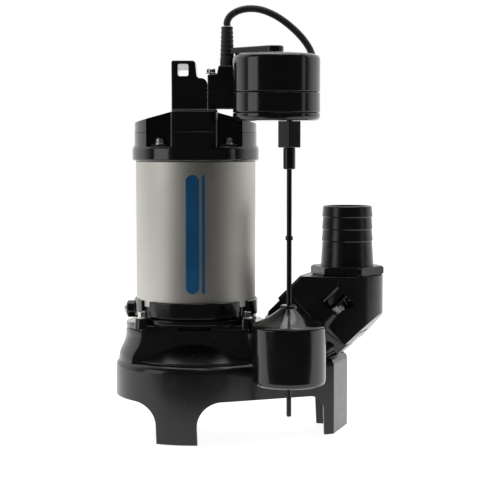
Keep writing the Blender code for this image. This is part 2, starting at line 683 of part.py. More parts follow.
def make_motor():
    """Shaft, rotor, stator, bearings and seal on the pump's axis."""
    shaft = [
        (0.0, 268.0), (5.6, 268.0), (6.0, 267.4), (6.0, 252.0), (SHAFT_RADIUS, 252.0), (SHAFT_RADIUS, 132.0),
        (6.0, 132.0), (6.0, 57.2), (4.0, 57.2), (4.0, 48.5), (3.5, 48.0), (0.0, 48.0),
    ]
    turned("motor_shaft", shaft, "steel", steps=14)
    rod("rotor_core", 30.0, 162.0, 232.0, "steel", bore=SHAFT_RADIUS + GAP)
    rod("stator_core", 57.6, 165.0, 229.0, "steel", bore=31.0, steps=32)
    for name, low, high in (("lower_winding", 149.0, 164.6), ("upper_winding", 229.4, 246.0)):
        coil = [(51.0, high), (54.0, high - 3.0), (54.0, low + 3.0), (51.0, low), (38.0, low),
                (35.0, low + 3.0), (35.0, high - 3.0), (38.0, high)]
        turned(name, coil, "copper", steps=20, ring=True)
    rod("lower_bearing", 17.6, 134.4, 144.6, "steel", bore=SHAFT_RADIUS + GAP, steps=16)
    rod("upper_bearing", 16.0, 253.0, 262.4, "steel", bore=6.3, steps=16)
    rod("seal_seat", 15.2, 93.4, 100.6, "ceramic", bore=7.0, steps=16)
    rod("seal_ring", 13.0, 80.9, 92.9, "rubber", bore=6.3, steps=16)
    plate_profile = [
        (57.5, 266.0), (57.5, 262.0), (21.0, 262.0), (21.0, 252.6), (16.4, 252.6), (16.4, 262.8),
        (9.0, 262.8), (9.0, 266.0),
    ]
    bracket = turned("bearing_plate", plate_profile, "steel", steps=24, ring=True)
    for i, (x, y) in enumerate(COVER_BOLTS):
        cut(bracket, rod(f"plate_hole_{i}", 2.8, 240.0, 280.0, None, moved(x, y), 8))
    cut(bracket, rod("wire_hole", 6.0, 240.0, 280.0, None, moved(30.0, 0.0), 10))
    turned("capacitor", [(0.0, 51.0), (8.5, 51.0), (9.5, 50.0), (9.5, 8.0), (8.5, 7.0), (0.0, 7.0)],
           "label", moved(z=293.0) @ Matrix.Rotation(math.radians(-90.0), 4, "Y"), 20)
    block("terminal_block", (10.0, -8.0, 284.0), (42.0, 8.0, 299.0), "ceramic", UPRIGHT, 1.0)


# ---- float switch -----------------------------------------------------------------------------


def make_gland():
    """Cable gland block beside the column, its screw, and the tapered strain relief."""
    shape = filleted([(13.4, 322.4), (39.4, 322.4), (39.4, STRAIN_LOW - GAP), (24.0, STRAIN_LOW - GAP),
                      (22.4, 356.0), (13.4, 355.0)], [0.0, 2.0, 1.0, 1.0, 0.0, 1.0])
    gland = plate("cable_gland", shape, 20.0, 52.0, "plastic", FRONT_VIEW, top=1.2, bottom=1.2, segments=2)
    relief = [
        (0.0, STRAIN_TOP), (5.0, STRAIN_TOP), (5.8, STRAIN_TOP - 0.8), (6.9, STRAIN_LOW + 4.0),
        (6.9, STRAIN_LOW), (0.0, STRAIN_LOW),
    ]
    strain = turned("strain_relief", relief, "rubber", moved(STRAIN_X, STRAIN_Y), 24)
    cut(gland, rod("gland_bore", 4.0, 315.0, 380.0, None, moved(STRAIN_X, STRAIN_Y), 16))
    cut(strain, rod("relief_bore", 3.0, 350.0, 396.0, None, moved(STRAIN_X, STRAIN_Y), 16))
    cut(gland, rod("gland_screw_hole", 2.3, 335.0, 380.0, None, moved(16.6, -41.0), 12))
    screw = turned("gland_screw", [
        (0.0, 361.2), (3.6, 361.2), (4.2, 360.4), (4.2, 357.4), (5.2, 357.0), (5.2, 356.3), (2.0, 356.3),
        (2.0, 340.0), (0.0, 340.0),
    ], "zinc", moved(16.6, -41.0), 16)
    cut(screw, block("gland_screw_slot", (-0.5, -6.0, 360.2), (0.5, 6.0, 365.0), None, moved(16.6, -41.0)))


def make_switch_bracket():
    """Bracket that carries the switch housing: an upright on the gland block and an arm on top."""
    bracket = block("switch_bracket", (39.8, -52.0, 326.0), (44.2, -24.0, 380.2), "plastic", UPRIGHT, 1.0)
    arm_frame = moved(40.0, -38.0) @ Matrix.Rotation(math.atan2(-46.0, 41.0), 4, "Z")
    arm = plate("bracket_arm", filleted([(4.0, -9.5), (64.0, -9.5), (64.0, 9.5), (4.0, 9.5)],
                                        [1.0, 9.3, 9.3, 1.0], 6),
                SWITCH_HIGH + 1.2, 381.0, None, arm_frame, top=1.6, segments=2)
    join(bracket, arm)
    for i, height in enumerate((332.0, 346.0)):
        drill = moved(y=-35.0, z=height) @ ALONG_X
        cut(bracket, rod(f"bracket_hole_{i}", 2.3, 30.0, 50.0, None, drill, 10))
        turned(f"bracket_screw_{i + 1}", [
            (0.0, 47.3), (3.4, 46.9), (4.0, 44.5), (2.0, 44.5), (2.0, 39.6), (0.0, 39.6),
        ], "zinc", drill, 14)


def make_switch():
    """Float switch housing in three shells, its guide, and the switch inside."""
    frame = moved(SWITCH_X, ROD_Y)
    rod_hole = moved(ROD_X, ROD_Y)
    cover = turned("switch_cover", [
        (0.0, SWITCH_HIGH), (26.0, SWITCH_HIGH - 0.4), (38.0, SWITCH_HIGH - 2.0), (40.2, SWITCH_HIGH - 3.2),
        (SWITCH_RADIUS, SWITCH_HIGH - 5.5), (SWITCH_RADIUS, 337.6), (40.4, 337.0), (38.0, 337.0),
        (38.0, SWITCH_HIGH - 5.0), (0.0, SWITCH_HIGH - 4.0),
    ], "gloss", frame, 36)
    body = turned("switch_body", [
        (40.4, 336.7), (SWITCH_RADIUS, 336.1), (SWITCH_RADIUS, 318.6), (40.4, 318.0), (38.0, 318.0),
        (38.0, 336.7),
    ], "gloss", frame, 36, ring=True)
    base = turned("switch_base", [
        (0.0, 320.0), (37.6, 320.0), (37.6, 317.7), (40.4, 317.7), (SWITCH_RADIUS, 317.1),
        (SWITCH_RADIUS, SWITCH_LOW + 3.4), (39.6, SWITCH_LOW + 1.0), (37.6, SWITCH_LOW), (0.0, SWITCH_LOW),
    ], "gloss", frame, 36)
    cut(base, rod("switch_base_hole", GUIDE_BORE, 300.0, 330.0, None, rod_hole, 16))
    # the gland leans back and up towards the lead
    outward = Vector(SWITCH_GLAND_AXIS)
    inlet = moved(*SWITCH_GLAND) @ outward.to_track_quat("Z", "Y").to_matrix().to_4x4()
    cut(cover, rod("inlet_cut", 5.6, -22.0, -1.0, None, inlet, 14))
    nose = turned("switch_gland", [
        (0.0, 0.0), (4.6, 0.0), (5.3, -0.8), (5.3, -20.0), (0.0, -20.0),
    ], "rubber", inlet, 16)
    cut(nose, rod("switch_gland_bore", 3.0, -30.0, -6.0, None, inlet, 12))

    side = 11.0
    guide = plate("rod_guide", filleted([(side, 0.0), (0.0, side), (-side, 0.0), (0.0, -side)], 1.2, 3),
                  285.3, SWITCH_LOW - GAP, "gloss", rod_hole @ Matrix.Rotation(math.radians(-3.0), 4, "Z"),
                  bottom=0.8, segments=1)
    cut(guide, rod("rod_guide_bore", 5.0, 280.0, 320.0, None, rod_hole, 20))
    turned("guide_bush", [
        (4.7, SWITCH_LOW - GAP), (4.7, 285.0), (5.7, 285.0), (5.7, 266.0), (5.0, 265.0), (GUIDE_BORE, 265.0),
        (GUIDE_BORE, SWITCH_LOW - GAP),
    ], "plastic", rod_hole, 24, ring=True)

    switch = block("microswitch", (57.0, -91.0, 338.5), (75.0, -81.0, 356.0), "plastic", UPRIGHT, 0.6)
    for i, low in enumerate((-91.0, -83.0)):
        join(switch, block(f"switch_ear_{i}", (59.5, low, 330.0), (66.5, low + 2.0, 342.0)))
    pin = moved(LEVER_X, ROD_Y, LEVER_Z) @ ALONG_Y
    cut(switch, rod("pin_hole", 1.3, -10.0, 10.0, None, pin, 12))
    rod("lever_pin", 1.0, -5.5, 5.5, "zinc", pin, 12)
    lever = block("switch_lever", (0.0, -2.2, -0.6), (31.5, 2.2, 0.6), "stainless",
                  moved(LEVER_X, ROD_Y, LEVER_Z), 0.2)
    join(lever, rod("lever_hub", 2.2, -2.2, 2.2, None, pin, 16))
    cut(lever, rod("lever_bore", 1.3, -10.0, 10.0, None, pin, 12))


def make_float():
    """Float on its rod, with the rod's stops."""
    top = ROD_HIGH - 0.8
    turned("float_rod", [
        (0.0, ROD_HIGH), (1.6, ROD_HIGH), (ROD_RADIUS, top), (ROD_RADIUS, ROD_LOW + 1.0),
        (1.6, ROD_LOW), (0.0, ROD_LOW),
    ], "stainless", ROD, 16)
    bore = ROD_RADIUS + GAP
    rod("rod_collar", 6.0, 320.3, 325.0, "zinc", ROD, 16, bore=bore)
    rod("upper_stop", 3.6, UPPER_STOP, UPPER_STOP + 4.0, "plastic", ROD, 16, bore=bore)
    rod("lower_stop", 5.0, 61.6, 64.6, "plastic", ROD, 16, bore=bore)
    turned("float_body", [
        (34.0, FLOAT_RIM + 0.2), (FLOAT_RADIUS, FLOAT_RIM - 0.8), (FLOAT_RADIUS, FLOAT_LOW + 5.0),
        (34.0, FLOAT_LOW + 2.0), (31.5, FLOAT_LOW + 0.4), (28.0, FLOAT_LOW), (6.0, FLOAT_LOW),
        (6.0, 65.0), (GUIDE_BORE, 65.0), (GUIDE_BORE, 128.0), (5.2, 128.0), (5.2, 69.0), (31.0, 69.0),
        (32.6, 71.0), (32.6, FLOAT_RIM + 0.2),
    ], "gloss", ROD, 28, ring=True)
    turned("float_cap", [
        (7.0, FLOAT_TOP), (7.8, FLOAT_TOP - 0.8), (7.8, FLOAT_TOP - 3.0), (34.6, FLOAT_RIM + 2.2),
        (FLOAT_RADIUS + 0.2, FLOAT_RIM + 1.4), (34.6, FLOAT_RIM + 0.5), (32.0, FLOAT_RIM + 0.5),
        (5.6, 128.6), (GUIDE_BORE, 128.6), (GUIDE_BORE, FLOAT_TOP),
    ], "gloss", ROD, 28, ring=True)


def smooth_route(points, spacing):
    """Points every spacing along a Catmull-Rom curve through the route's own points."""
    route = [Vector(p) for p in points]
    ends = [route[0] * 2.0 - route[1], *route, route[-1] * 2.0 - route[-2]]
    fine = []
    for a, b, c, d in zip(ends, ends[1:], ends[2:], ends[3:]):
        for i in range(20):
            t = i / 20.0
            fine.append(0.5 * (2.0 * b + (c - a) * t + (2.0 * a - 5.0 * b + 4.0 * c - d) * t * t
                               + (3.0 * b - a - 3.0 * c + d) * t ** 3))
    fine.append(route[-1])
    length = sum((q - p).length for p, q in zip(fine, fine[1:]))
    step = length / round(length / spacing)
    kept, run = [fine[0]], 0.0
    for p, q in zip(fine, fine[1:]):
        run += (q - p).length
        if run >= step and (route[-1] - q).length > step * 0.5:
            kept.append(q)
            run = 0.0
    return [*kept, fine[-1]]


def make_lead():
    """The lead between the motor's gland and the float switch."""
    curve = bpy.data.curves.new("switch_lead", "CURVE")
    curve.dimensions = "3D"
    curve.bevel_depth = CABLE_RADIUS * MM
    curve.bevel_resolution = 3
    curve.use_fill_caps = True
    points = smooth_route(CABLE_ROUTE, 6.0)
    spline = curve.splines.new("POLY")
    spline.points.add(len(points) - 1)
    for point, place in zip(spline.points, points):
        point.co = (*(place * MM), 1.0)
    placed(bpy.data.objects.new("switch_lead", curve), "rubber", UPRIGHT)


def main():
    """Builds the pump."""
    start_scene()
    make_base()
    make_inlet()
    make_elbow()
    make_joint_parts()
    make_impeller()
    make_bracket()
    make_shell()
    make_cover()
    make_fasteners()
    make_motor()
    make_gland()
    make_switch_bracket()
    make_switch()
    make_float()
    make_lead()


main()
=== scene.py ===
"""The look of a submersible sump pump with a rod-guided float switch.

Lengths are in millimetres from the pump's axis, and MM turns them into metres when a mesh is made.
+X is towards the discharge, +Y to the back, and +Z up from the floor under the legs.
"""
import json
import math

import bmesh
import bpy
import numpy as np
from mathutils import Matrix, Vector

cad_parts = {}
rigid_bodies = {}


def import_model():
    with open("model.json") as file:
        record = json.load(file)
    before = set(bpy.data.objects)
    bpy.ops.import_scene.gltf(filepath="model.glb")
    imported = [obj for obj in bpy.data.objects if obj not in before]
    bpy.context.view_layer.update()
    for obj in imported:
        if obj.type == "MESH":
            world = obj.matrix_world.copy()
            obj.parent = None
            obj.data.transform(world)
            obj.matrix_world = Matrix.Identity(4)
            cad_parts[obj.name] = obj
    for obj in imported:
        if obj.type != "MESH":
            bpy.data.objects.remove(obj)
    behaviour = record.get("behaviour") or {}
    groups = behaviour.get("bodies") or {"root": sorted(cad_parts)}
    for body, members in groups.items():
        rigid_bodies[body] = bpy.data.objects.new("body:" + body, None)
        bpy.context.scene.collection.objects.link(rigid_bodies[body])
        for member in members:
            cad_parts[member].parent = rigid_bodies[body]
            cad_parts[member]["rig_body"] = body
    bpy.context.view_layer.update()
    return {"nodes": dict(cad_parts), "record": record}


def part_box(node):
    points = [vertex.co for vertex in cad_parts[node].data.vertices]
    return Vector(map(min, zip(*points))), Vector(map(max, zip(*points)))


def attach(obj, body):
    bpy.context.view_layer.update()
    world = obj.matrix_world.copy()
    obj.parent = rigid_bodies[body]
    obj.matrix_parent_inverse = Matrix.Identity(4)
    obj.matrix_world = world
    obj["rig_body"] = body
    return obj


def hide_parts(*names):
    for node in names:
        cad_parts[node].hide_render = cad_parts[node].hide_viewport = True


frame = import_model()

MM = 0.001
NODES = frame["nodes"]
SLOT_OF = {entry["node"]: entry["material_slot"] for entry in frame["record"]["subparts"]}

shell_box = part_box("motor_shell")
PUMP_AXIS = (shell_box[0] + shell_box[1]) / 2.0
PUMP_AXIS.z = 0.0


class Span:
    """Where a CAD node is: its middle, its half width, and its lowest and highest point."""

    def __init__(self, node):
        low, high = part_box(node)
        low, high = (low - PUMP_AXIS) / MM, (high - PUMP_AXIS) / MM
        self.x = (low.x + high.x) / 2.0
        self.y = (low.y + high.y) / 2.0
        self.radius = (high.x - low.x) / 2.0
        self.low, self.high = low.z, high.z


SHELL = Span("motor_shell")
COVER = Span("top_cover")
TAIL = Span("hose_tail")
SWITCH = Span("switch_cover")
ROD = Span("float_rod")
RELIEF = Span("strain_relief")

# How many sides a round piece has
SIDES = 128
# What touching pieces keep between them
GAP = 0.3


# ---- camera, world and stage ------------------------------------------------------------------

EYE_DISTANCE = 1500.0
EYE_HEIGHT = 292.6
EYE_PITCH = math.radians(4.2)
LENS = 108.0
WHITE = (1.0, 1.0, 1.0, 1.0)


def make_camera():
    """A long lens in front of the pump, a little above its middle, looking slightly down."""
    data = bpy.data.cameras.new("camera")
    data.lens = LENS
    data.sensor_width = 36.0
    data.clip_end = 50.0
    camera = bpy.data.objects.new("camera", data)
    bpy.context.scene.collection.objects.link(camera)
    camera.location = (0.0, PUMP_AXIS.y - EYE_DISTANCE * MM, EYE_HEIGHT * MM)
    camera.rotation_euler = (math.radians(90.0) - EYE_PITCH, 0.0, 0.0)
    bpy.context.scene.camera = camera


def fill(tree, node, **inputs):
    """Fills a node's inputs: a socket is linked to one, and any other value is set."""
    for key, value in inputs.items():
        socket = node.inputs[key.replace("_", " ")]
        if isinstance(value, bpy.types.NodeSocket):
            tree.links.new(value, socket)
        else:
            socket.default_value = value
    return node


def add(tree, kind, settings=None, **inputs):
    """Adds a node to a tree, with its settings and its inputs."""
    made = tree.nodes.new(kind)
    for key, value in (settings or {}).items():
        setattr(made, key, value)
    return fill(tree, made, **inputs)


def make_world():
    """A white studio behind and beside the pump, dim in front of it, and white to look at."""
    world = bpy.data.worlds.new("studio")
    bpy.context.scene.world = world
    world.use_nodes = True
    tree = world.node_tree
    tree.nodes.clear()
    way = add(tree, "ShaderNodeTexCoord").outputs["Generated"]
    split = add(tree, "ShaderNodeSeparateXYZ", Vector=way)
    behind = add(tree, "ShaderNodeMapRange", {"interpolation_type": "SMOOTHSTEP"}, Value=split.outputs["Y"],
                 From_Min=-0.15, From_Max=0.35, To_Min=0.05, To_Max=1.0)
    light = add(tree, "ShaderNodeBackground", Color=WHITE, Strength=behind.outputs["Result"])
    white = add(tree, "ShaderNodeBackground", Color=WHITE, Strength=1.0)
    seen = add(tree, "ShaderNodeLightPath").outputs["Is Camera Ray"]
    both = tree.nodes.new("ShaderNodeMixShader")
    tree.links.new(seen, both.inputs[0])
    tree.links.new(light.outputs[0], both.inputs[1])
    tree.links.new(white.outputs[0], both.inputs[2])
    out = tree.nodes.new("ShaderNodeOutputWorld")
    tree.links.new(both.outputs[0], out.inputs["Surface"])


def make_light(name, place, aim, size, power):
    """An area light at a place, turned towards a point; both are in metres."""
    data = bpy.data.lights.new(name, "AREA")
    data.shape = "RECTANGLE"
    data.size, data.size_y = size
    data.energy = power
    light = bpy.data.objects.new(name, data)
    bpy.context.scene.collection.objects.link(light)
    light.location = place
    light.rotation_euler = (Vector(aim) - Vector(place)).to_track_quat("-Z", "Y").to_euler()


# How far the floor reaches in front of the pump, in metres: a dark room in front of it is mirrored
FLOOR_FRONT = 0.25


def make_stage():
    """A floor that glows white, and soft lights: one above, one at the left and one at the right."""
    bm = bmesh.new()
    bmesh.ops.create_grid(bm, x_segments=2, y_segments=2, size=2.2)
    bmesh.ops.translate(bm, vec=(0.0, 2.2 - FLOOR_FRONT, 0.0), verts=bm.verts)
    mesh = bpy.data.meshes.new("studio_floor")
    bm.to_mesh(mesh)
    bm.free()
    floor = bpy.data.objects.new("studio_floor", mesh)
    bpy.context.scene.collection.objects.link(floor)
    paint = bpy.data.materials.new("floor_paint")
    paint.use_nodes = True
    shader = paint.node_tree.nodes["Principled BSDF"]
    place = add(paint.node_tree, "ShaderNodeTexCoord").outputs["Object"]
    cloud = add(paint.node_tree, "ShaderNodeTexNoise", Vector=place, Scale=1.5)
    tone = add(paint.node_tree, "ShaderNodeMapRange", Value=cloud.outputs["Fac"], To_Min=0.30, To_Max=0.34)
    fill(paint.node_tree, shader, Base_Color=tone.outputs["Result"], Roughness=0.7, Emission_Color=WHITE,
         Emission_Strength=0.92)
    floor.data.materials.append(paint)
    middle = (0.0, 0.0, 0.2)
    make_light("light_above", (0.1, 0.1, 1.7), middle, (1.6, 1.2), 10.0)
    make_light("light_left", (-1.5, -0.75, 0.55), middle, (0.9, 1.2), 5.0)
    make_light("light_right", (1.3, -0.42, 0.4), middle, (0.22, 1.0), 0.5)
    bpy.context.scene.view_settings.view_transform = "Standard"
    bpy.context.scene.view_settings.look = "None"


# ---- materials --------------------------------------------------------------------------------


def new_material(name):
    """A material with its tree, its shader and the place of each point, in metres."""
    made = bpy.data.materials.new(name)
    made.use_nodes = True
    tree = made.node_tree
    place = add(tree, "ShaderNodeTexCoord").outputs["Object"]
    return made, tree, tree.nodes["Principled BSDF"], place


def noise(tree, place, scale, detail=3.0, roughness=0.5):
    """Noise with a scale in cycles per metre."""
    made = add(tree, "ShaderNodeTexNoise", Vector=place, Scale=scale, Detail=detail, Roughness=roughness)
    return made.outputs["Fac"]


def ranged(tree, value, low, high, source=(0.3, 0.7)):
    """A value's range turned into another range."""
    made = add(tree, "ShaderNodeMapRange", {"clamp": True}, Value=value, From_Min=source[0],
               From_Max=source[1], To_Min=low, To_Max=high)
    return made.outputs["Result"]


def ramp(tree, value, *stops):
    """A colour ramp from (place, colour) stops."""
    made = add(tree, "ShaderNodeValToRGB", Fac=value)
    elements = made.color_ramp.elements
    while len(elements) < len(stops):
        elements.new(0.5)
    for element, (where, colour) in zip(elements, stops):
        element.position = where
        element.color = (*colour, 1.0)
    return made.outputs["Color"]


def total(tree, first, second, how="ADD"):
    """Two values put together."""
    made = add(tree, "ShaderNodeMath", {"operation": how})
    for socket, value in zip(made.inputs, (first, second)):
        if isinstance(value, bpy.types.NodeSocket):
            tree.links.new(value, socket)
        else:
            socket.default_value = value
    return made.outputs[0]


def bump(tree, shader, height, depth, strength=1.0):
    """Surface relief; depth is in metres."""
    made = add(tree, "ShaderNodeBump", Height=height, Distance=depth, Strength=strength)
    fill(tree, shader, Normal=made.outputs["Normal"])


def tint(colour, share):
    """A colour made lighter or darker by a share."""
    return tuple(min(1.0, c * share) for c in colour)


def moulding(name, colour, roughness, spread, grain, depth, coat=0.0):
    """Black moulded plastic: faint mottling, rubbed patches, dust specks and a fine grain."""
    made, tree, shader, place = new_material(name)
    cloud = noise(tree, place, 35.0, 4.0)
    specks = noise(tree, place, 420.0, 2.0)
    rubbed = noise(tree, place, 90.0, 8.0, 0.7)
    base = ramp(tree, cloud, (0.30, tint(colour, 0.75)), (0.70, tint(colour, 1.25)))
    dust = ranged(tree, specks, 0.0, 1.0, (0.70, 0.80))
    dusty = add(tree, "ShaderNodeMixRGB", Fac=dust, Color1=base, Color2=(*tint(colour, 4.0), 1.0))
    worn = ranged(tree, rubbed, roughness - spread, roughness + spread, (0.35, 0.65))
    dull = total(tree, worn, total(tree, dust, 0.15, "MULTIPLY"))
    fill(tree, shader, Base_Color=dusty.outputs[0], Roughness=dull, IOR=1.5, Coat_Weight=coat,
         Coat_Roughness=0.08)
    bump(tree, shader, noise(tree, place, grain, 3.0), depth)
    return made


def brushed_shell(name, colour):
    """Stainless steel brushed around the pump's axis."""
    made, tree, shader, place = new_material(name)
    split = add(tree, "ShaderNodeSeparateXYZ", Vector=place)
    x = total(tree, split.outputs["X"], PUMP_AXIS.x, "SUBTRACT")
    y = total(tree, split.outputs["Y"], PUMP_AXIS.y, "SUBTRACT")
    angle = total(tree, y, x, "ARCTAN2")
    around = add(tree, "ShaderNodeCombineXYZ", X=total(tree, angle, 0.9, "MULTIPLY"),
                 Y=total(tree, split.outputs["Z"], 900.0, "MULTIPLY"))
    lines = noise(tree, around.outputs[0], 2.0, 6.0, 0.75)
    smears = noise(tree, place, 14.0, 4.0)
    base = ramp(tree, lines, (0.30, tint(colour, 0.86)), (0.70, tint(colour, 1.06)))
    dull = total(tree, ranged(tree, lines, 0.36, 0.48), ranged(tree, smears, -0.03, 0.05))
    tangent = add(tree, "ShaderNodeTangent", {"direction_type": "RADIAL", "axis": "Z"})
    fill(tree, shader, Base_Color=base, Roughness=dull, Metallic=1.0, Anisotropic=0.6,
         Tangent=tangent.outputs[0])
    bump(tree, shader, lines, 0.00004, 0.6)
    return made


def metal(name, colour, roughness, scale, depth, low=0.75):
    """Plain or plated metal, mottled, with small dents."""
    made, tree, shader, place = new_material(name)
    cloud = noise(tree, place, scale, 5.0, 0.6)
    base = ramp(tree, cloud, (0.30, tint(colour, low)), (0.70, tint(colour, 1.1)))
    dull = ranged(tree, cloud, roughness * 0.7, roughness * 1.4)
    fill(tree, shader, Base_Color=base, Roughness=dull, Metallic=1.0)
    bump(tree, shader, noise(tree, place, scale * 3.0, 2.0), depth)
    return made


def rubber(name, colour, roughness):
    """Dark rubber with a powdery bloom and a fine grain."""
    made, tree, shader, place = new_material(name)
    bloom = noise(tree, place, 60.0, 6.0, 0.6)
    base = ramp(tree, bloom, (0.35, tint(colour, 0.8)), (0.75, tint(colour, 1.7)))
    dull = ranged(tree, bloom, roughness - 0.08, roughness + 0.1)
    fill(tree, shader, Base_Color=base, Roughness=dull, Sheen_Weight=0.1)
    bump(tree, shader, noise(tree, place, 1800.0, 2.0), 0.00004)
    return made


def fibre(name, colour):
    """Gasket board: short fibres in two browns."""
    made, tree, shader, place = new_material(name)
    strands = noise(tree, place, 700.0, 5.0, 0.8)
    base = ramp(tree, strands, (0.35, tint(colour, 0.55)), (0.65, tint(colour, 1.5)))
    fill(tree, shader, Base_Color=base, Roughness=0.85)
    bump(tree, shader, strands, 0.0001)
    return made


def winding(name, colour):
    """Enamelled copper wire laid in turns, with painted shade darkening the grooves between them."""
    made, tree, shader, place = new_material(name)
    turns_and_groove_shade = add(tree, "ShaderNodeTexWave", {"bands_direction": "Z"}, Vector=place, Scale=330.0,
                Distortion=2.5, Detail=2.0)
    # Painted shade: the colour follows the waves of the bump, so the grooves between turns are painted much
    # darker than the copper.
    base = ramp(tree, turns_and_groove_shade.outputs["Fac"], (0.2, tint(colour, 0.35)), (0.8, tint(colour, 1.1)))
    fill(tree, shader, Base_Color=base, Roughness=0.3, Metallic=0.9)
    bump(tree, shader, turns_and_groove_shade.outputs["Fac"], 0.0004)
    return made


def fired(name, colour, roughness):
    """Pale ceramic or moulding with faint clouds."""
    made, tree, shader, place = new_material(name)
    cloud = noise(tree, place, 120.0, 4.0)
    base = ramp(tree, cloud, (0.3, tint(colour, 0.86)), (0.7, tint(colour, 1.05)))
    fill(tree, shader, Base_Color=base, Roughness=ranged(tree, cloud, roughness - 0.06, roughness + 0.08))
    bump(tree, shader, noise(tree, place, 1500.0, 2.0), 0.00003)
    return made


def make_materials():
    """One material for each slot of the pump, the dark steel of the rod and the blue of the decal."""
    return {
        "cast_housing": moulding("cast_housing", (0.009, 0.009, 0.0098), 0.22, 0.04, 1500.0, 0.000012),
        "gloss_housing": moulding("gloss_housing", (0.006, 0.006, 0.0065), 0.14, 0.04, 250.0, 0.00004, 0.25),
        "black_plastic": moulding("black_plastic", (0.007, 0.007, 0.0077), 0.26, 0.05, 1100.0, 0.00001),
        "black_rubber": rubber("black_rubber", (0.028, 0.029, 0.030), 0.55),
        "gasket_fibre": fibre("gasket_fibre", (0.16, 0.09, 0.05)),
        "stainless_shell": brushed_shell("stainless_shell", (0.68, 0.66, 0.605)),
        "bright_zinc": metal("bright_zinc", (0.78, 0.77, 0.72), 0.24, 260.0, 0.00005),
        "motor_steel": metal("motor_steel", (0.45, 0.45, 0.46), 0.35, 90.0, 0.00005),
        "rod_steel": metal("rod_steel", (0.045, 0.047, 0.047), 0.25, 180.0, 0.00003),
        "copper_wire": winding("copper_wire", (0.60, 0.27, 0.12)),
        "seal_ceramic": fired("seal_ceramic", (0.75, 0.73, 0.68), 0.3),
        "capacitor_case": fired("capacitor_case", (0.55, 0.56, 0.57), 0.4),
        "decal_blue": moulding("decal_blue", (0.012, 0.125, 0.30), 0.32, 0.04, 600.0, 0.00003),
    }


# ---- shape tools ------------------------------------------------------------------------------

UPRIGHT = Matrix.Identity(4)
ALONG_X = Matrix.Rotation(math.radians(90.0), 4, "Y")
ALONG_MINUS_X = Matrix.Rotation(math.radians(-90.0), 4, "Y")
FRONT_VIEW = Matrix.Rotation(math.radians(90.0), 4, "X")
tools = []


def moved(x=0.0, y=0.0, z=0.0):
    """A shift in millimetres."""
    return Matrix.Translation((x, y, z))


def turn(degrees, axis="Z"):
    """A rotation about an axis."""
    return Matrix.Rotation(math.radians(degrees), 4, axis)


def placed(name, mesh, place):
    """An object in the scene; place is a matrix in millimetres from the pump's axis."""
    obj = bpy.data.objects.new(name, mesh)
    bpy.context.scene.collection.objects.link(obj)
    world = place.copy()
    world.translation = PUMP_AXIS + place.translation * MM
    obj.matrix_world = world
    return obj


def meshed(name, bm, place):
    """An object from a bmesh in millimetres."""
    bmesh.ops.scale(bm, vec=(MM, MM, MM), verts=bm.verts)
    mesh = bpy.data.meshes.new(name)
    bm.to_mesh(mesh)
    bm.free()
    return placed(name, mesh, place)


def arc(centre, radius, first, last, count):
    """Points on an arc, by angle in degrees."""
    points = []
    for i in range(count + 1):
        angle = math.radians(first + (last - first) * i / count)
        points.append((centre[0] + radius * math.cos(angle), centre[1] + radius * math.sin(angle)))
    return points


def filleted(corners, radius, count=6):
    """An outline whose corners are rounded; radius is one number, or one for each corner."""
    radii = radius if isinstance(radius, (list, tuple)) else [radius] * len(corners)
    points = []
    for i, corner in enumerate(corners):
        here = Vector(corner)
        if radii[i] <= 0.0:
            points.append(tuple(here))
            continue
        back = (Vector(corners[i - 1]) - here).normalized()
        ahead = (Vector(corners[(i + 1) % len(corners)]) - here).normalized()
        half = back.angle(ahead) / 2.0
        centre = here + (back + ahead).normalized() * (radii[i] / math.sin(half))
        reach = radii[i] / math.tan(half)
        start = here + back * reach - centre
        end = here + ahead * reach - centre
        sweep = start.angle_signed(end)
        for j in range(count + 1):
            points.append(tuple(centre + Matrix.Rotation(-sweep * j / count, 2) @ start))
    return points


def softened(profile, width, count, closed):
    """A profile with its corners rounded, each over a width that its two edges have room for."""
    points = []
    for i, corner in enumerate(profile):
        here = Vector(corner)
        if not closed and i in (0, len(profile) - 1):
            points.append(tuple(here))
            continue
        back = Vector(profile[i - 1]) - here
        ahead = Vector(profile[(i + 1) % len(profile)]) - here
        reach = min(width, back.length * 0.45, ahead.length * 0.45)
        start = here + back.normalized() * reach
        end = here + ahead.normalized() * reach
        for j in range(count + 1):
            share = j / count
            points.append(tuple(start.lerp(here, share).lerp(here.lerp(end, share), share)))
    return points


def turned(name, profile, place=UPRIGHT, sides=SIDES, ring=False, soft=0.0, count=4):
    """A turned piece; its profile runs down the outer side. soft rounds the profile's corners."""
    if soft:
        profile = softened(profile, soft, count, ring)
    bm = bmesh.new()
    rows = []
    for radius, level in profile:
        angles = [math.tau * i / sides for i in range(sides if radius > 0.0 else 1)]
        rows.append([bm.verts.new((radius * math.cos(t), radius * math.sin(t), level)) for t in angles])
    for upper, lower in zip(rows, rows[1:] + rows[:1] if ring else rows[1:]):
        for i in range(sides):
            corners = (upper[i % len(upper)], lower[i % len(lower)],
                       lower[(i + 1) % len(lower)], upper[(i + 1) % len(upper)])
            bm.faces.new(dict.fromkeys(corners))
    bmesh.ops.recalc_face_normals(bm, faces=bm.faces)
    return meshed(name, bm, place)


def rod(name, radius, low, high, place=UPRIGHT, sides=SIDES):
    """A straight round bar."""
    return turned(name, [(0.0, high), (radius, high), (radius, low), (0.0, low)], place, sides)


def block(name, low, high, place=UPRIGHT, edge=0.0, segments=4):
    """A box between two corners, with rounded edges where edge is given."""
    size = Vector(high) - Vector(low)
    bm = bmesh.new()
    bmesh.ops.create_cube(bm, size=1.0)
    bmesh.ops.scale(bm, vec=size, verts=bm.verts)
    bmesh.ops.translate(bm, vec=(Vector(high) + Vector(low)) / 2.0, verts=bm.verts)
    if edge:
        bmesh.ops.bevel(bm, geom=bm.edges[:], offset=edge, segments=segments, profile=0.5, affect="EDGES")
    return meshed(name, bm, place)


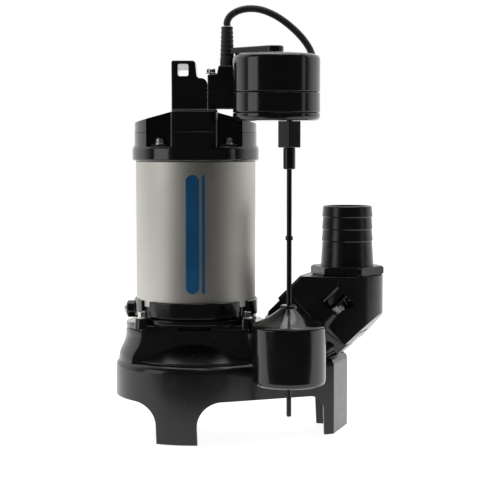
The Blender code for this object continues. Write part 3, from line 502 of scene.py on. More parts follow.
def plate(name, outline, low, high, place=UPRIGHT, top=0.0, bottom=0.0, segments=5):
    """A flat outline given a thickness, with its top and bottom edges rounded where asked."""
    bm = bmesh.new()
    rim = [bm.verts.new((x, y, low)) for x, y in outline]
    face = bm.faces.new(rim)
    grown = bmesh.ops.extrude_face_region(bm, geom=[face])
    up = [v for v in grown["geom"] if isinstance(v, bmesh.types.BMVert)]
    bmesh.ops.translate(bm, vec=(0.0, 0.0, high - low), verts=up)
    bmesh.ops.recalc_face_normals(bm, faces=bm.faces)
    for width, level in ((top, high), (bottom, low)):
        if width:
            edges = [e for e in bm.edges if all(abs(v.co.z - level) < 0.01 for v in e.verts)]
            bmesh.ops.bevel(bm, geom=edges, offset=width, segments=segments, profile=0.5, affect="EDGES")
    return meshed(name, bm, place)


def baked(obj):
    """Makes what an object's modifiers show into its own mesh."""
    graph = bpy.context.evaluated_depsgraph_get()
    mesh = bpy.data.meshes.new_from_object(obj.evaluated_get(graph))
    obj.modifiers.clear()
    obj.data = mesh
    return obj


def combine(target, how, others):
    """Cuts or joins others, one after the other; each is kept as a tool until the tools go."""
    for other in others:
        step = target.modifiers.new(other.name, "BOOLEAN")
        step.operation = how
        step.solver = "MANIFOLD"
        step.object = other
        tools.append(other)
    baked(target)
    return target


def cut(target, *others):
    """Takes the others away from target."""
    return combine(target, "DIFFERENCE", others)


def join(target, *others):
    """Adds the others to target."""
    return combine(target, "UNION", others)


def measured(mesh):
    """How many edges of a mesh are open, its volume, and the corners of its box."""
    bm = bmesh.new()
    bm.from_mesh(mesh)
    loose = sum(1 for edge in bm.edges if len(edge.link_faces) != 2)
    volume = bm.calc_volume(signed=True)
    bm.free()
    across = np.array([vertex.co for vertex in mesh.vertices])
    return loose, volume, across.min(axis=0), across.max(axis=0)


def cleaned(mesh, near):
    """A copy of a mesh without the slivers that cuts leave; near is how close its points may be."""
    bm = bmesh.new()
    bm.from_mesh(mesh)
    bmesh.ops.remove_doubles(bm, verts=bm.verts, dist=near * MM)
    bmesh.ops.dissolve_degenerate(bm, edges=bm.edges, dist=near * 0.4 * MM)
    bmesh.ops.dissolve_limit(bm, angle_limit=math.radians(0.4), verts=bm.verts, edges=bm.edges)
    clean = bpy.data.meshes.new(mesh.name)
    bm.to_mesh(clean)
    bm.free()
    return clean


def eased(obj, width, segments=3, angle=38.0):
    """Rounds an object's sharp edges, as widely as it can without an open edge or a changed shape."""
    most_volume_change, most_growth = 0.02, 0.3 * MM
    rough = obj.data
    for near in (0.12, 0.08, 0.03, 0.005):
        obj.data = cleaned(rough, near)
        if measured(obj.data)[0] == 0:
            break
    sharp = obj.data
    before = measured(sharp)
    for share in (1.0, 0.7, 0.45, 0.25):
        bevel = obj.modifiers.new("ease", "BEVEL")
        bevel.limit_method = "ANGLE"
        bevel.angle_limit = math.radians(angle)
        bevel.width = width * share * MM
        bevel.segments = segments
        bevel.use_clamp_overlap = False
        baked(obj)
        after = measured(obj.data)
        sound = after[0] <= before[0] and abs(after[1] / before[1] - 1.0) < most_volume_change
        grown = max(np.abs(after[2] - before[2]).max(), np.abs(after[3] - before[3]).max())
        if sound and grown < most_growth:
            return obj
        obj.data = sharp
    return obj


def stand_for(obj, *nodes, slot=None):
    """Puts a finished piece in place of CAD nodes, on their body and with their finish."""
    baked(obj)
    obj.data.transform(obj.matrix_world)
    obj.matrix_world = Matrix.Identity(4)
    obj.data.shade_smooth()
    obj.data.set_sharp_from_angle(angle=math.radians(35.0))
    weigh = obj.modifiers.new("weigh", "WEIGHTED_NORMAL")
    weigh.keep_sharp = True
    baked(obj)
    slot = slot or SLOT_OF[nodes[0]]
    obj.data.materials.clear()
    obj.data.materials.append(materials[slot])
    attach(obj, NODES[nodes[0]]["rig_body"])
    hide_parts(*nodes)
    return obj


def hexagon(radius, first=0.0):
    """Corners of a hexagon; radius is to a corner."""
    return arc((0.0, 0.0), radius, first, first + 300.0, 5)


# ---- places that the pieces share -------------------------------------------------------------

SKIRT_RADIUS = 80.0
SKIRT_TOP = 76.0
FLOOR_UNDER = 40.0
CHAMBER_RADIUS, CHAMBER_FLOOR, CHAMBER_TOP = 58.0, 47.0, 82.0
LEG_WALL = 12.0
OUTLET_REACH, OUTLET_NEAR, OUTLET_FAR = 137.5, 22.0, 80.0
CASING_RADIUS, CASING_FRONT, CASING_TOP = 70.0, -47.0, 107.0
THROAT_RADIUS = 42.0
INLET_RADIUS = 27.0
WATERWAY_RADIUS = 21.0
FLANGE_HALF_LENGTH, FLANGE_HALF_WIDTH, FLANGE_THICKNESS = 40.5, 38.0, 20.0
POCKET_END = 40.0
JOINT_REACH, JOINT_OFFSET, JOINT_HEIGHT = 118.0, 51.3, 115.0
RISER_RADIUS, RISER_BEND, RISER_TOP = 36.0, 140.2, 157.7
DISCHARGE = turn(-17.5)
JOINT = DISCHARGE @ moved(JOINT_REACH, JOINT_OFFSET, JOINT_HEIGHT) @ turn(45.0, "Y")
RISER_REACH = JOINT_REACH + RISER_BEND - JOINT_HEIGHT
RISER = DISCHARGE @ moved(RISER_REACH, JOINT_OFFSET)
JOINT_BOLTS = tuple(moved(9.0, side) for side in (-27.0, 27.0))
SMALL_BOLT_HOLE, JOINT_BOLT_HOLE = 2.8, 4.3
PLUG = moved(z=123.5) @ ALONG_MINUS_X
COVER_STEP = 286.0
SPIGOT_RADIUS = 57.8
SWITCH_GLAND = (111.5, -50.5, 361.0)
SWITCH_GLAND_AXIS = (0.30, 0.75, 0.59)


# ---- cable ------------------------------------------------------------------------------------

CABLE_RADIUS = 0.0034
CABLE_ROUTE = (
    (0.0320, -0.0360, 0.4027),
    (0.0322, -0.0360, 0.4070),
    (0.0356, -0.0360, 0.4126),
    (0.0434, -0.0360, 0.4172),
    (0.0540, -0.0358, 0.4192),
    (0.0660, -0.0354, 0.4178),
    (0.0795, -0.0346, 0.4122),
    (0.0920, -0.0334, 0.4036),
    (0.1030, -0.0322, 0.3934),
    (0.1110, -0.0320, 0.3828),
    (0.1146, -0.0350, 0.3736),
    (0.1149, -0.0406, 0.3669),
    (0.1132, -0.0462, 0.3644),
    (0.1117, -0.04995, 0.3614),
)


def smooth_route(points, count=6):
    """Points along a Catmull-Rom curve through the route's own points."""
    route = [Vector(p) for p in points]
    ends = [route[0] * 2.0 - route[1], *route, route[-1] * 2.0 - route[-2]]
    fine = []
    for a, b, c, d in zip(ends, ends[1:], ends[2:], ends[3:]):
        for i in range(count):
            t = i / count
            fine.append(0.5 * (2.0 * b + (c - a) * t + (2.0 * a - 5.0 * b + 4.0 * c - d) * t * t
                               + (3.0 * b - a - 3.0 * c + d) * t ** 3))
    return [*fine, route[-1]]


def make_cable():
    """The lead between the motor's strain relief and the gland of the float switch."""
    curve = bpy.data.curves.new("float_switch_cable", "CURVE")
    curve.dimensions = "3D"
    curve.bevel_depth = CABLE_RADIUS
    curve.bevel_resolution = 6
    curve.use_fill_caps = True
    points = [PUMP_AXIS + p for p in smooth_route(CABLE_ROUTE)]
    spline = curve.splines.new("POLY")
    spline.points.add(len(points) - 1)
    for point, place in zip(spline.points, points):
        point.co = (*place, 1.0)
    curve.materials.append(materials["black_rubber"])
    cable = bpy.data.objects.new("float_switch_cable", curve)
    bpy.context.scene.collection.objects.link(cable)
    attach(cable, "pump")
    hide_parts("switch_lead")


# ---- turned pieces ----------------------------------------------------------------------------


def make_shell():
    """Stainless motor shell with a rolled rim, and its plain blue decal."""
    r, low, high = SHELL.radius, SHELL.low, SHELL.high
    wall = 1.2
    profile = [(r - 0.3, high), (r, high - 0.5), (r, low + 0.4), (r - 0.4, low), (r - wall, low),
               (r - wall, high)]
    stand_for(turned("motor_shell_brushed", profile, sides=160, ring=True, soft=0.25), "motor_shell")

    bars = (("decal_bar", -1.2, 6.4), ("decal_line", 9.4, 1.4))
    middle, half_height, columns, rows = 201.5, 57.5, 18, 40
    for name, across, half in bars:
        bm = bmesh.new()
        grid = []
        for i in range(columns + 1):
            u = half * math.sin(math.pi * (i / columns - 0.5))
            reach = half_height - half + math.sqrt(max(0.0, half * half - u * u))
            angle = (across + u) / r - math.pi / 2.0
            grid.append([bm.verts.new(((r + 0.05) * math.cos(angle), (r + 0.05) * math.sin(angle),
                                       middle + reach * (2.0 * j / rows - 1.0))) for j in range(rows + 1)])
        for a, b in zip(grid, grid[1:]):
            for j in range(rows):
                bm.faces.new((a[j], b[j], b[j + 1], a[j + 1]))
        bmesh.ops.remove_doubles(bm, verts=bm.verts, dist=0.001)
        decal = meshed(name, bm, UPRIGHT)
        thick = decal.modifiers.new("thick", "SOLIDIFY")
        thick.thickness = 0.12 * MM
        thick.offset = 1.0
        baked(decal)
        decal.data.transform(decal.matrix_world)
        decal.matrix_world = Matrix.Identity(4)
        decal.data.shade_smooth()
        decal.data.set_sharp_from_angle(angle=math.radians(40.0))
        decal.data.materials.append(materials["decal_blue"])
        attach(decal, "pump")


def make_switch():
    """Float switch housing: a domed cover, a middle shell and a base with a rolled edge."""
    middle = moved(SWITCH.x, SWITCH.y)
    cover, body, base = Span("switch_cover"), Span("switch_body"), Span("switch_base")
    r = cover.radius
    dome = [(0.0, cover.high), (26.0, cover.high - 0.4), (37.0, cover.high - 1.8),
            (r - 1.2, cover.high - 3.2), (r, cover.high - 5.5), (r, cover.low + 0.7), (r - 0.7, cover.low),
            (r - 3.0, cover.low), (r - 3.0, cover.high - 5.0), (0.0, cover.high - 4.0)]
    outward = Vector(SWITCH_GLAND_AXIS)
    shape = turned("switch_cover_gloss", dome, middle, soft=1.0)
    way = moved(*SWITCH_GLAND) @ outward.to_track_quat("Z", "Y").to_matrix().to_4x4()
    cut(shape, rod("gland_way", 5.6, -22.0, -1.0, way, 48))
    stand_for(shape, "switch_cover")
    ring = [(r - 0.7, body.high), (r, body.high - 0.7), (r, body.low + 0.7), (r - 0.7, body.low),
            (r - 3.0, body.low), (r - 3.0, body.high)]
    stand_for(turned("switch_body_gloss", ring, middle, ring=True, soft=0.4), "switch_body")
    foot = [(0.0, base.high), (37.6, base.high), (37.6, 317.7), (r - 0.6, 317.7), (r, 317.1),
            (r, base.low + 3.4), (r - 1.4, base.low + 1.0), (r - 3.4, base.low), (0.0, base.low)]
    shape = turned("switch_base_gloss", foot, middle, soft=0.6)
    cut(shape, rod("rod_way", 2.9, 300.0, 330.0, moved(ROD.x, ROD.y), 48))
    stand_for(shape, "switch_base")
    collar = [(0.0, 0.0), (4.6, 0.0), (5.3, -0.8), (5.3, -4.0), (4.9, -4.5), (4.9, -20.0), (0.0, -20.0)]
    nose = turned("switch_gland_rubber", collar, way, 64, soft=0.4)
    cut(nose, rod("nose_bore", 3.0, -30.0, -6.0, way, 48))
    stand_for(nose, "switch_gland")


def make_float():
    """Float: a drum, a cone that sweeps up to its collar, the rod and its stops."""
    place = moved(ROD.x, ROD.y)
    body, cap = Span("float_body"), Span("float_cap")
    r, low, rim = body.radius, body.low, cap.low - GAP
    drum = [(34.0, rim), (r, rim - 0.8), (r, low + 5.0), (34.0, low + 2.0), (31.5, low + 0.4), (28.0, low),
            (6.0, low), (6.0, low + 5.0), (2.9, low + 5.0), (2.9, 128.0), (5.2, 128.0), (5.2, low + 9.0),
            (31.0, low + 9.0), (32.6, low + 11.0), (32.6, rim)]
    stand_for(turned("float_drum", drum, place, ring=True, soft=0.8), "float_body")
    # The cone sags a little between the collar and the rim
    start, end = Vector((7.8, cap.high - 3.0)), Vector((34.4, rim + 2.0))
    slope = []
    for i in range(13):
        t = i / 12.0
        sag = 1.3 * math.sin(math.pi * t)
        point = start.lerp(end, t)
        slope.append((point.x, point.y - sag))
    hood = [(7.0, cap.high), (7.8, cap.high - 0.8), *slope, (cap.radius, rim + 1.2), (34.6, cap.low),
            (32.0, cap.low), (5.6, 128.6), (2.9, 128.6), (2.9, cap.high)]
    stand_for(turned("float_hood", hood, place, ring=True), "float_cap")
    tip = [(0.0, ROD.high), (1.6, ROD.high), (ROD.radius, ROD.high - 0.8), (ROD.radius, ROD.low + 1.0),
           (1.6, ROD.low), (0.0, ROD.low)]
    stand_for(turned("float_rod_round", tip, place, 48, soft=0.4), "float_rod", slot="rod_steel")
    for node in ("rod_collar", "upper_stop", "lower_stop"):
        stop = Span(node)
        ring = [(stop.radius, stop.high), (stop.radius, stop.low), (2.7, stop.low), (2.7, stop.high)]
        stand_for(turned(node + "_round", ring, place, 48, ring=True, soft=0.5), node)


def make_guide():
    """Square guide under the switch housing, with its bush."""
    guide, bush = Span("rod_guide"), Span("guide_bush")
    place = moved(ROD.x, ROD.y)
    side = 11.0
    shape = plate("rod_guide_gloss", filleted([(side, 0.0), (0.0, side), (-side, 0.0), (0.0, -side)], 1.2, 5),
                  guide.low, guide.high, place @ turn(-3.0), bottom=0.8, segments=3)
    cut(shape, rod("guide_way", 5.0, 280.0, 320.0, place, 64))
    stand_for(shape, "rod_guide")
    sleeve = [(4.7, bush.high), (4.7, guide.low - GAP), (5.7, guide.low - GAP), (5.7, bush.low + 1.0),
              (5.0, bush.low), (2.9, bush.low), (2.9, bush.high)]
    stand_for(turned("guide_bush_round", sleeve, place, 64, ring=True, soft=0.3), "guide_bush")


# ---- castings and mouldings -------------------------------------------------------------------


def skirt_outline(radius, reach, near, far, corner):
    """Plan outline of the volute: a circle run out to the outlet block."""
    first = math.degrees(math.atan2(near, reach) - math.acos(radius / math.hypot(reach, near)))
    circle = arc((0.0, 0.0), radius, 90.0, 360.0 + first, 96)
    square = [(0.0, radius), circle[-1], (reach, near), (reach, far)]
    return circle[:-1] + filleted(square, [0.0, 0.0, corner, corner], 8)[1:]


def cut_circle(radius, front, count=72):
    """A circle with its front cut off flat."""
    half = math.degrees(math.asin(-front / radius))
    return arc((0.0, 0.0), radius, -half, 180.0 + half, count)


def flange_outline(half_length, half_width):
    """Joint flange: square at the top, its lower corners drawn in past the bolts."""
    waist, nose = half_length * 0.27, half_width * 0.45
    near = [(-half_length, half_width), (-half_length, -half_width), (waist, -half_width),
            (half_length, -nose), (half_length, nose), (waist, half_width)]
    return filleted(near, [3.0, 3.0, 9.0, 4.0, 4.0, 9.0], 8)


def arches():
    """What the base leaves open between its legs, drawn as front views."""
    crown, low = FLOOR_UNDER + 1.5, -5.0
    front = [(4.0, low), (128.0, low), (127.0, crown - 2.0), (2.0, crown)]
    back = [(-6.0, low), (123.0, low), (121.0, crown), (-6.0, crown)]
    side = [(-220.0, low), (-36.0, low), (-37.5, crown - 3.0), (-220.0, crown + 1.0)]
    side_back = [(-220.0, low), (-40.0, low), (-41.0, crown - 3.0), (-220.0, crown + 1.0)]
    drawn = (("arch_front", front, [0.0, 0.0, 14.0, 24.0], -5.0, 120.0),
             ("arch_back", back, [0.0, 0.0, 16.0, 20.0], -120.0, 5.0),
             ("arch_side", side, [0.0, 0.0, 22.0, 0.0], -5.0, 120.0),
             ("arch_side_back", side_back, [0.0, 0.0, 22.0, 0.0], -120.0, 5.0))
    return [plate(name, filleted(corners, radii, 14), near, far, FRONT_VIEW)
            for name, corners, radii, near, far in drawn]


def base_bolt_places():
    """Where the four base bolts stand, as matrices at their seats."""
    return [moved(Span(f"base_bolt_{i}").x, Span(f"base_bolt_{i}").y) for i in range(1, 5)]


def make_base():
    """Base casting: skirt and legs, volute casing, outlet neck and tilted flange."""
    outline = skirt_outline(SKIRT_RADIUS, OUTLET_REACH, OUTLET_NEAR, OUTLET_FAR, 3.0)
    base = plate("pump_base_cast", outline, 0.0, SKIRT_TOP, DISCHARGE, top=8.0, segments=8)
    hollow = skirt_outline(SKIRT_RADIUS - LEG_WALL, OUTLET_REACH - 10.0, OUTLET_NEAR + 9.0,
                           OUTLET_FAR - 9.0, 6.0)
    cut(base, plate("under_floor", hollow, -5.0, FLOOR_UNDER, DISCHARGE), *arches())

    flare = [(0.0, CASING_TOP), (CASING_RADIUS, CASING_TOP), (CASING_RADIUS, 98.0), (72.5, 90.0),
             (76.5, 82.5), (77.5, 74.0), (77.5, 60.0), (0.0, 60.0)]
    casing = turned("casing", flare, soft=5.0, count=6)
    cut(casing, block("casing_front", (-90.0, -100.0, 50.0), (90.0, CASING_FRONT, 120.0)))
    dome = turned("casing_dome", [(0.0, 94.0), (46.0, 94.0), (70.0, 77.0), (70.0, 60.0), (0.0, 60.0)])
    flange = plate("outlet_flange", flange_outline(FLANGE_HALF_LENGTH, FLANGE_HALF_WIDTH),
                   -12.0, -2.0 * GAP, JOINT, bottom=1.0, segments=3)
    neck = block("outlet_neck", (1.5 - FLANGE_HALF_LENGTH, -29.0, -80.0), (34.0, 29.0, -6.0), JOINT, 3.0)
    cut(neck, block("neck_floor", (-60.0, -20.0, -60.0), (260.0, 120.0, 50.0), DISCHARGE),
        block("neck_face", (OUTLET_REACH, -20.0, -60.0), (260.0, 120.0, 200.0), DISCHARGE))
    cut(flange, block("flange_face", (OUTLET_REACH + 10.0, -20.0, -60.0), (260.0, 120.0, 200.0), DISCHARGE))
    clearance = rod("ring_clearance", CASING_RADIUS + 2.5, CASING_TOP - 0.2, 170.0)
    cut(neck, clearance)
    cut(flange, clearance)
    join(base, casing, dome, neck, flange)

    chamber = turned("chamber", [
        (0.0, CASING_TOP + 5.0), (THROAT_RADIUS, CASING_TOP + 5.0), (THROAT_RADIUS, CHAMBER_TOP),
        (CHAMBER_RADIUS, CHAMBER_TOP), (CHAMBER_RADIUS, CHAMBER_FLOOR), (INLET_RADIUS, CHAMBER_FLOOR),
        (INLET_RADIUS, FLOOR_UNDER - 5.0), (0.0, FLOOR_UNDER - 5.0)], turn(1.0), 96)
    passage = block("passage", (-5.0, 34.0, CHAMBER_FLOOR + 2.0), (66.0, 69.0, CHAMBER_TOP - 4.5),
                    DISCHARGE)
    cut(base, chamber, passage, rod("waterway", WATERWAY_RADIUS, -82.0, 5.0, JOINT, 64))
    holes = [rod(f"bolt_hole_{i}", SMALL_BOLT_HOLE, 86.0, 120.0, place, 32)
             for i, place in enumerate(base_bolt_places())]
    holes += [rod(f"joint_hole_{i}", JOINT_BOLT_HOLE, -20.0, 2.0, JOINT @ place, 32)
              for i, place in enumerate(JOINT_BOLTS)]
    cut(base, *holes)
    eased(base, 0.7)
    stand_for(base, "pump_base")


def make_suction_ring():
    """Wear ring in the suction eye."""
    outer = INLET_RADIUS - GAP
    ring = [(INLET_RADIUS + 6.0, FLOOR_UNDER - GAP), (INLET_RADIUS + 6.0, FLOOR_UNDER - 4.0),
            (22.0, FLOOR_UNDER - 4.0), (20.0, FLOOR_UNDER - 1.0), (20.0, CHAMBER_FLOOR + 3.0),
            (outer, CHAMBER_FLOOR + 3.0), (outer, FLOOR_UNDER - GAP)]
    stand_for(turned("suction_ring_round", ring, ring=True, soft=0.6), "suction_ring")


def make_elbow():
    """Discharge elbow: a flange on the tilted joint, a flat-sided shoulder and an upright riser."""
    inset = 0.4
    outline = flange_outline(FLANGE_HALF_LENGTH, FLANGE_HALF_WIDTH)
    elbow = plate("discharge_elbow_cast", outline, 2.0 * GAP, FLANGE_THICKNESS, JOINT)
    shoulder = block("shoulder", (inset - FLANGE_HALF_LENGTH, inset - FLANGE_HALF_WIDTH, 4.0),
                     (-4.0, FLANGE_HALF_WIDTH - inset, 90.0), JOINT, 3.0)
    cut(shoulder, block("shoulder_top", (0.0, -60.0, RISER_TOP), (300.0, 160.0, 260.0), DISCHARGE),
        block("shoulder_side", (RISER_REACH, -60.0, 0.0), (300.0, 160.0, 260.0), DISCHARGE))
    riser = rod("riser", RISER_RADIUS, 60.0, RISER_TOP, RISER)
    cut(riser, block("riser_joint", (-150.0, -90.0, -120.0), (150.0, 90.0, 5.0), JOINT),
        block("riser_heel", (FLANGE_HALF_LENGTH - inset, -90.0, -150.0), (150.0, 90.0, 150.0), JOINT))
    join(elbow, shoulder, riser)
    along = (RISER_BEND - JOINT_HEIGHT) * math.sqrt(2.0)
    upright = turned("upright_way", [
        (0.0, 170.0), (27.3, 170.0), (27.3, 146.7), (WATERWAY_RADIUS, 146.7),
        (WATERWAY_RADIUS, RISER_BEND - 9.0), (0.0, RISER_BEND - 9.0)], RISER, 96)
    cut(elbow, rod("tilted_way", WATERWAY_RADIUS, -5.0, along + 12.0, JOINT, 96), upright)
    pockets = [rod(f"pocket_{i}", 10.5, FLANGE_THICKNESS + 0.05, POCKET_END, JOINT @ place, 64)
               for i, place in enumerate(JOINT_BOLTS)]
    cut(elbow, *pockets, *[rod(f"elbow_hole_{i}", JOINT_BOLT_HOLE, -2.0, 30.0, JOINT @ place, 32)
                           for i, place in enumerate(JOINT_BOLTS)])
    eased(elbow, 0.9)
    stand_for(elbow, "discharge_elbow")
    gasket = plate("elbow_gasket_cut", flange_outline(FLANGE_HALF_LENGTH - 0.5, FLANGE_HALF_WIDTH - 0.5),
                   -GAP, GAP, JOINT)
    cut(gasket, rod("gasket_way", WATERWAY_RADIUS + 0.5, -5.0, 5.0, JOINT, 64),
        *[rod(f"gasket_hole_{i}", JOINT_BOLT_HOLE + GAP, -5.0, 5.0, JOINT @ place, 32)
          for i, place in enumerate(JOINT_BOLTS)])
    stand_for(gasket, "elbow_gasket")


def make_hose_tail():
    """Hose tail: a chamfered hexagon under a barrel with three barbs."""
    top = TAIL.high
    barbs = [(0.0, top), (23.6, top), (24.3, top - 0.8), (25.2, top - 10.2), (24.4, top - 11.2),
             (25.3, top - 22.6), (24.6, top - 23.6), (25.6, top - 34.4), (24.9, top - 35.4), (26.5, 167.0),
             (26.5, 160.0), (27.0, 158.0), (27.0, TAIL.low), (0.0, TAIL.low)]
    tail = turned("hose_tail_barbed", barbs, RISER, soft=0.35)
    corner = 37.0
    nut = plate("tail_hexagon", hexagon(corner, 6.5), 158.0, 166.8, RISER)
    round_off = turned("tail_chamfer", [(0.0, 167.5), (corner - 3.4, 167.5), (corner + 1.0, 164.6),
                                        (corner + 1.0, 160.2), (corner - 3.4, 157.3), (0.0, 157.3)], RISER)
    combine(nut, "INTERSECT", [round_off])
    eased(nut, 0.4)
    join(tail, nut)
    cut(tail, rod("tail_way", 20.5, 140.0, 240.0, RISER))
    stand_for(tail, "hose_tail")


def make_bracket():
    """Oil chamber ring between the casing and the shell, with bolt ears and a plug boss."""
    r, top = 62.0, 135.0
    profile = [
        (r, top - 0.8), (r, 120.0), (58.0, 119.2), (60.8, 117.0), (60.8, 113.2), (58.0, 111.0),
        (THROAT_RADIUS - GAP, 111.0), (THROAT_RADIUS - GAP, 93.0), (15.6, 93.0), (15.6, 101.0), (9.0, 101.0),
        (9.0, 106.0), (40.0, 106.0), (40.0, 129.0), (9.0, 129.0), (9.0, 134.0), (17.9, 134.0),
        (17.9, 145.0), (24.0, 145.0), (24.0, 135.0), (SPIGOT_RADIUS, 135.0), (SPIGOT_RADIUS, 132.6),
        (SPIGOT_RADIUS - 2.1, 132.6), (SPIGOT_RADIUS - 2.1, 130.2), (SPIGOT_RADIUS, 130.2),
        (SPIGOT_RADIUS, 128.6), (60.0, 128.6), (60.0, top), (r - 0.8, top)]
    bracket = turned("motor_bracket_gloss", profile, ring=True)
    flange = plate("bracket_flange", cut_circle(CASING_RADIUS, CASING_FRONT - 0.5), CASING_TOP + GAP, 112.0,
                   top=1.6, bottom=0.6)
    cut(flange, rod("flange_way", 50.0, 90.0, 125.0))
    boss = turned("plug_boss", [(0.0, 69.0), (7.6, 69.0), (8.5, 68.0), (8.5, 60.6), (0.0, 60.6)], PLUG, 64)
    join(bracket, flange, boss)
    for i, place in enumerate(base_bolt_places()):
        cut(bracket, rod(f"ear_pocket_{i}", 7.4, 118.2, 150.0, place, 64))
        ear = turned(f"ear_{i}", [(0.0, 118.2), (7.2, 118.2), (8.4, 108.0), (0.0, 108.0)], place, 64)
        join(bracket, ear)
    cut(bracket, *[rod(f"ear_hole_{i}", SMALL_BOLT_HOLE, 100.0, 130.0, place, 32)
                   for i, place in enumerate(base_bolt_places())])
    cut(bracket, rod("plug_hole", 4.7, 30.0, 80.0, PLUG, 48))
    eased(bracket, 0.4)
    stand_for(bracket, "motor_bracket")


def make_cover():
    """Top cover: flange, crown with four bolt pockets, column and lifting eye."""
    low, r = 272.0, COVER.radius
    rim = [(0.0, 300.0), (60.8, 300.0), (60.8, COVER_STEP + 1.4), (r - 0.2, COVER_STEP - 1.6),
           (r, COVER_STEP - 2.6),
           (r, low + 1.2), (r - 1.2, low), (SPIGOT_RADIUS, low), (SPIGOT_RADIUS, 270.0),
           (SPIGOT_RADIUS - 2.0, 270.0), (SPIGOT_RADIUS - 2.0, 267.6), (SPIGOT_RADIUS, 267.6),
           (SPIGOT_RADIUS, 266.4), (0.0, 266.4)]
    cover = turned("top_cover_gloss", rim)
    crown = rod("crown", 60.6, 290.0, 322.0)
    roof = [(-80.0, 303.0), (-61.0, 309.5), (-20.0, 320.0), (20.0, 320.0), (59.0, 309.5), (80.0, 303.0),
            (80.0, 350.0), (-80.0, 350.0)]
    cut(crown, plate("roof", roof, -90.0, 90.0, FRONT_VIEW))
    join(cover, crown)
    bolts = [(Span(f"cover_bolt_{i}").x, Span(f"cover_bolt_{i}").y) for i in range(1, 5)]
    for i, (x, y) in enumerate(bolts):
        side, way = math.copysign(1.0, x), math.copysign(1.0, y)
        xs, ys = sorted((side * 22.0, side * 46.5)), sorted((way * 27.0, way * 80.0))
        cut(cover, block(f"cover_pocket_{i}", (xs[0], ys[0], COVER_STEP), (xs[1], ys[1], 330.0)))
        join(cover, block(f"pad_{i}", (x - 8.0, y - 8.0, 280.0), (x + 8.0, y + 8.0, COVER_STEP + 2.0)))
    column = block("column", (-21.0, -55.0, 284.0), (23.0, 30.0, 322.0), UPRIGHT, 2.0)
    shape = filleted([(-21.2, 300.0), (13.0, 300.0), (13.0, 352.0), (3.0, 352.0), (1.5, 368.6),
                      (-21.4, 368.6)], [0.0, 0.0, 6.0, 3.5, 3.0, 2.0], 10)
    eye = plate("eye", shape, 14.0, 52.0, FRONT_VIEW, top=1.2, bottom=1.2, segments=3)
    join(cover, column, eye)
    loop = filleted([(-15.2, -5.5), (-5.0, -5.5), (-5.0, 6.0), (-15.2, 6.0)], 1.8, 5)
    cut(cover, plate("eye_way", loop, -40.0, 40.0, moved(y=-33.0, z=357.0) @ turn(-7.0, "X") @ FRONT_VIEW))
    cut(cover, rod("mouth", 54.0, 250.0, 271.5), rod("cavity", 44.0, 271.0, 283.0),
        block("terminal_space", (-52.0, -20.0, 280.0), (52.0, 20.0, 304.0)))
    holes = [rod(f"cover_hole_{i}", SMALL_BOLT_HOLE, 250.0, 300.0, moved(x, y), 32)
             for i, (x, y) in enumerate(bolts)]
    cut(cover, *holes, rod("lead_way", 4.0, 300.0, 340.0, moved(RELIEF.x, RELIEF.y + 20.0), 32))
    eased(cover, 0.7)
    stand_for(cover, "top_cover")


# ---- small parts ------------------------------------------------------------------------------


def hex_bolt(node, place, shank, across, head, flange, length=30.0):
    """A flanged hexagon bolt with a chamfered, dished head; its seat is at height 0 of its place."""
    corner = across / math.sqrt(3.0)
    body = turned(node + "_body", [(0.0, 1.6), (flange - 0.8, 1.3), (flange, 0.7), (flange, 0.0),
                                   (shank, 0.0), (shank, -length), (0.0, -length)], place, 64)
    top = plate(node + "_bright", hexagon(corner, 12.0), 0.5, head, place)
    crown = turned(node + "_crown", [(0.0, head - 0.4), (across * 0.3, head - 0.4), (across * 0.36, head),
                                     (across * 0.48, head), (corner + 0.2, head - 1.0), (corner + 0.2, 0.0),
                                     (0.0, 0.0)], place, 64)
    combine(top, "INTERSECT", [crown])
    eased(top, 0.25, 2)
    join(top, body)
    return stand_for(top, node)


def make_fasteners():
    """Bolts of the base, the cover and the discharge joint."""
    for i in range(1, 5):
        low, top = Span(f"base_bolt_{i}"), Span(f"cover_bolt_{i}")
        hex_bolt(f"base_bolt_{i}", moved(low.x, low.y, 118.5), shank=2.5, across=8.0, head=6.4, flange=5.6)
        hex_bolt(f"cover_bolt_{i}", moved(top.x, top.y, COVER_STEP + 2.0 + GAP), shank=2.5, across=8.0,
                 head=5.8, flange=5.6)
    for i, place in enumerate(JOINT_BOLTS):
        hex_bolt(f"elbow_bolt_{i + 1}", JOINT @ place @ moved(z=FLANGE_THICKNESS + GAP), shank=3.9,
                 across=13.0, head=6.6, flange=8.2, length=38.0)
    plug = turned("oil_plug_bright", [
        (0.0, 72.0), (3.2, 72.0), (4.0, 71.4), (4.0, 70.4), (5.4, 70.4), (6.2, 69.8), (6.2, 69.3),
        (4.4, 69.3), (4.4, 58.5), (4.0, 58.0), (0.0, 58.0)], PLUG, 64, soft=0.2)
    cut(plug, block("plug_slot", (-0.6, -5.0, 71.0), (0.6, 5.0, 75.0), PLUG))
    stand_for(plug, "oil_plug")


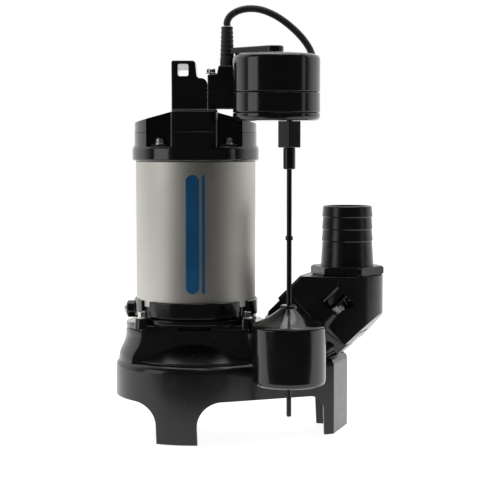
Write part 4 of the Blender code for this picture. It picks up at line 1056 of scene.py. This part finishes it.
def make_gland():
    """Cable gland block beside the column, its screw, and the ribbed strain relief."""
    low, top = RELIEF.low, RELIEF.high
    here = moved(RELIEF.x, RELIEF.y)
    shape = filleted([(13.4, 322.4), (39.4, 322.4), (39.4, low - 0.3), (24.0, low - 0.3), (22.4, 356.0),
                      (13.4, 355.0)], [0.0, 2.0, 1.5, 1.5, 0.0, 1.0])
    gland = plate("cable_gland_moulded", shape, 20.0, 52.0, FRONT_VIEW, top=1.2, bottom=1.2, segments=4)
    screw = moved(Span("gland_screw").x, Span("gland_screw").y)
    cut(gland, rod("gland_way", 4.0, 315.0, 380.0, here, 48), rod("screw_hole", 2.3, 335.0, 380.0, screw, 32))
    stand_for(gland, "cable_gland")
    ribs = [(5.0, top), (5.7, top - 0.8)]
    count = 7
    for i in range(count):
        level = top - 3.0 - (top - low - 9.0) * i / count
        radius = 5.8 + 1.0 * i / count
        ribs += [(radius, level + 0.5), (radius - 0.35, level - 0.3), (radius - 0.35, level - 1.2),
                 (radius + 0.05, level - 2.0)]
    ribs += [(6.9, low + 4.0), (6.9, low)]
    relief = turned("strain_relief_rubber", [(0.0, top), *ribs, (0.0, low)], here, 64, soft=0.2, count=2)
    cut(relief, rod("relief_way", 3.0, 350.0, 396.0, here, 48))
    stand_for(relief, "strain_relief")
    profile = [(0.0, 361.2), (3.6, 361.2), (4.2, 360.4), (4.2, 357.4), (5.2, 357.0), (5.2, 356.3),
               (2.0, 356.3), (2.0, 340.0), (0.0, 340.0)]
    bright = turned("gland_screw_bright", profile, screw, 64, soft=0.2)
    cut(bright, block("gland_slot", (-0.5, -6.0, 360.2), (0.5, 6.0, 365.0), screw))
    stand_for(bright, "gland_screw")


def make_switch_bracket():
    """Bracket of the switch housing: an upright on the gland block and an arm over the cover."""
    bracket = block("switch_bracket_moulded", (39.8, -52.0, 326.0), (44.2, -24.0, 380.2), UPRIGHT, 1.0)
    swing = moved(40.0, -38.0) @ turn(math.degrees(math.atan2(-46.0, 41.0)))
    tongue = filleted([(4.0, -9.5), (64.0, -9.5), (64.0, 9.5), (4.0, 9.5)], [1.0, 9.3, 9.3, 1.0], 14)
    arm = plate("arm", tongue, SWITCH.high + 1.2, 381.0, swing, top=1.6)
    join(bracket, arm)
    for i in range(2):
        screw = Span(f"bracket_screw_{i + 1}")
        height = (screw.low + screw.high) / 2.0
        drill = moved(y=screw.y, z=height) @ ALONG_X
        cut(bracket, rod(f"screw_way_{i}", 2.3, 30.0, 50.0, drill, 32))
        head = turned(f"bracket_screw_{i + 1}_bright", [
            (0.0, 47.3), (2.4, 47.1), (3.6, 46.2), (4.0, 44.5), (2.0, 44.5), (2.0, 39.6), (0.0, 39.6)],
            drill, 48, soft=0.2)
        cut(head, block(f"screw_slot_{i}", (-0.45, -5.0, 46.4), (0.45, 5.0, 48.0), drill))
        stand_for(head, f"bracket_screw_{i + 1}")
    stand_for(bracket, "switch_bracket")


# ---- the pump ---------------------------------------------------------------------------------

materials = make_materials()
for node, obj in NODES.items():
    obj.data.materials.clear()
    obj.data.materials.append(materials[SLOT_OF[node]])

make_camera()
make_cable()
make_world()
make_stage()
make_base()
make_suction_ring()
make_elbow()
make_hose_tail()
make_bracket()
make_shell()
make_cover()
make_fasteners()
make_gland()
make_switch_bracket()
make_switch()
make_float()
make_guide()
for tool in dict.fromkeys(tools):
    bpy.data.objects.remove(tool)
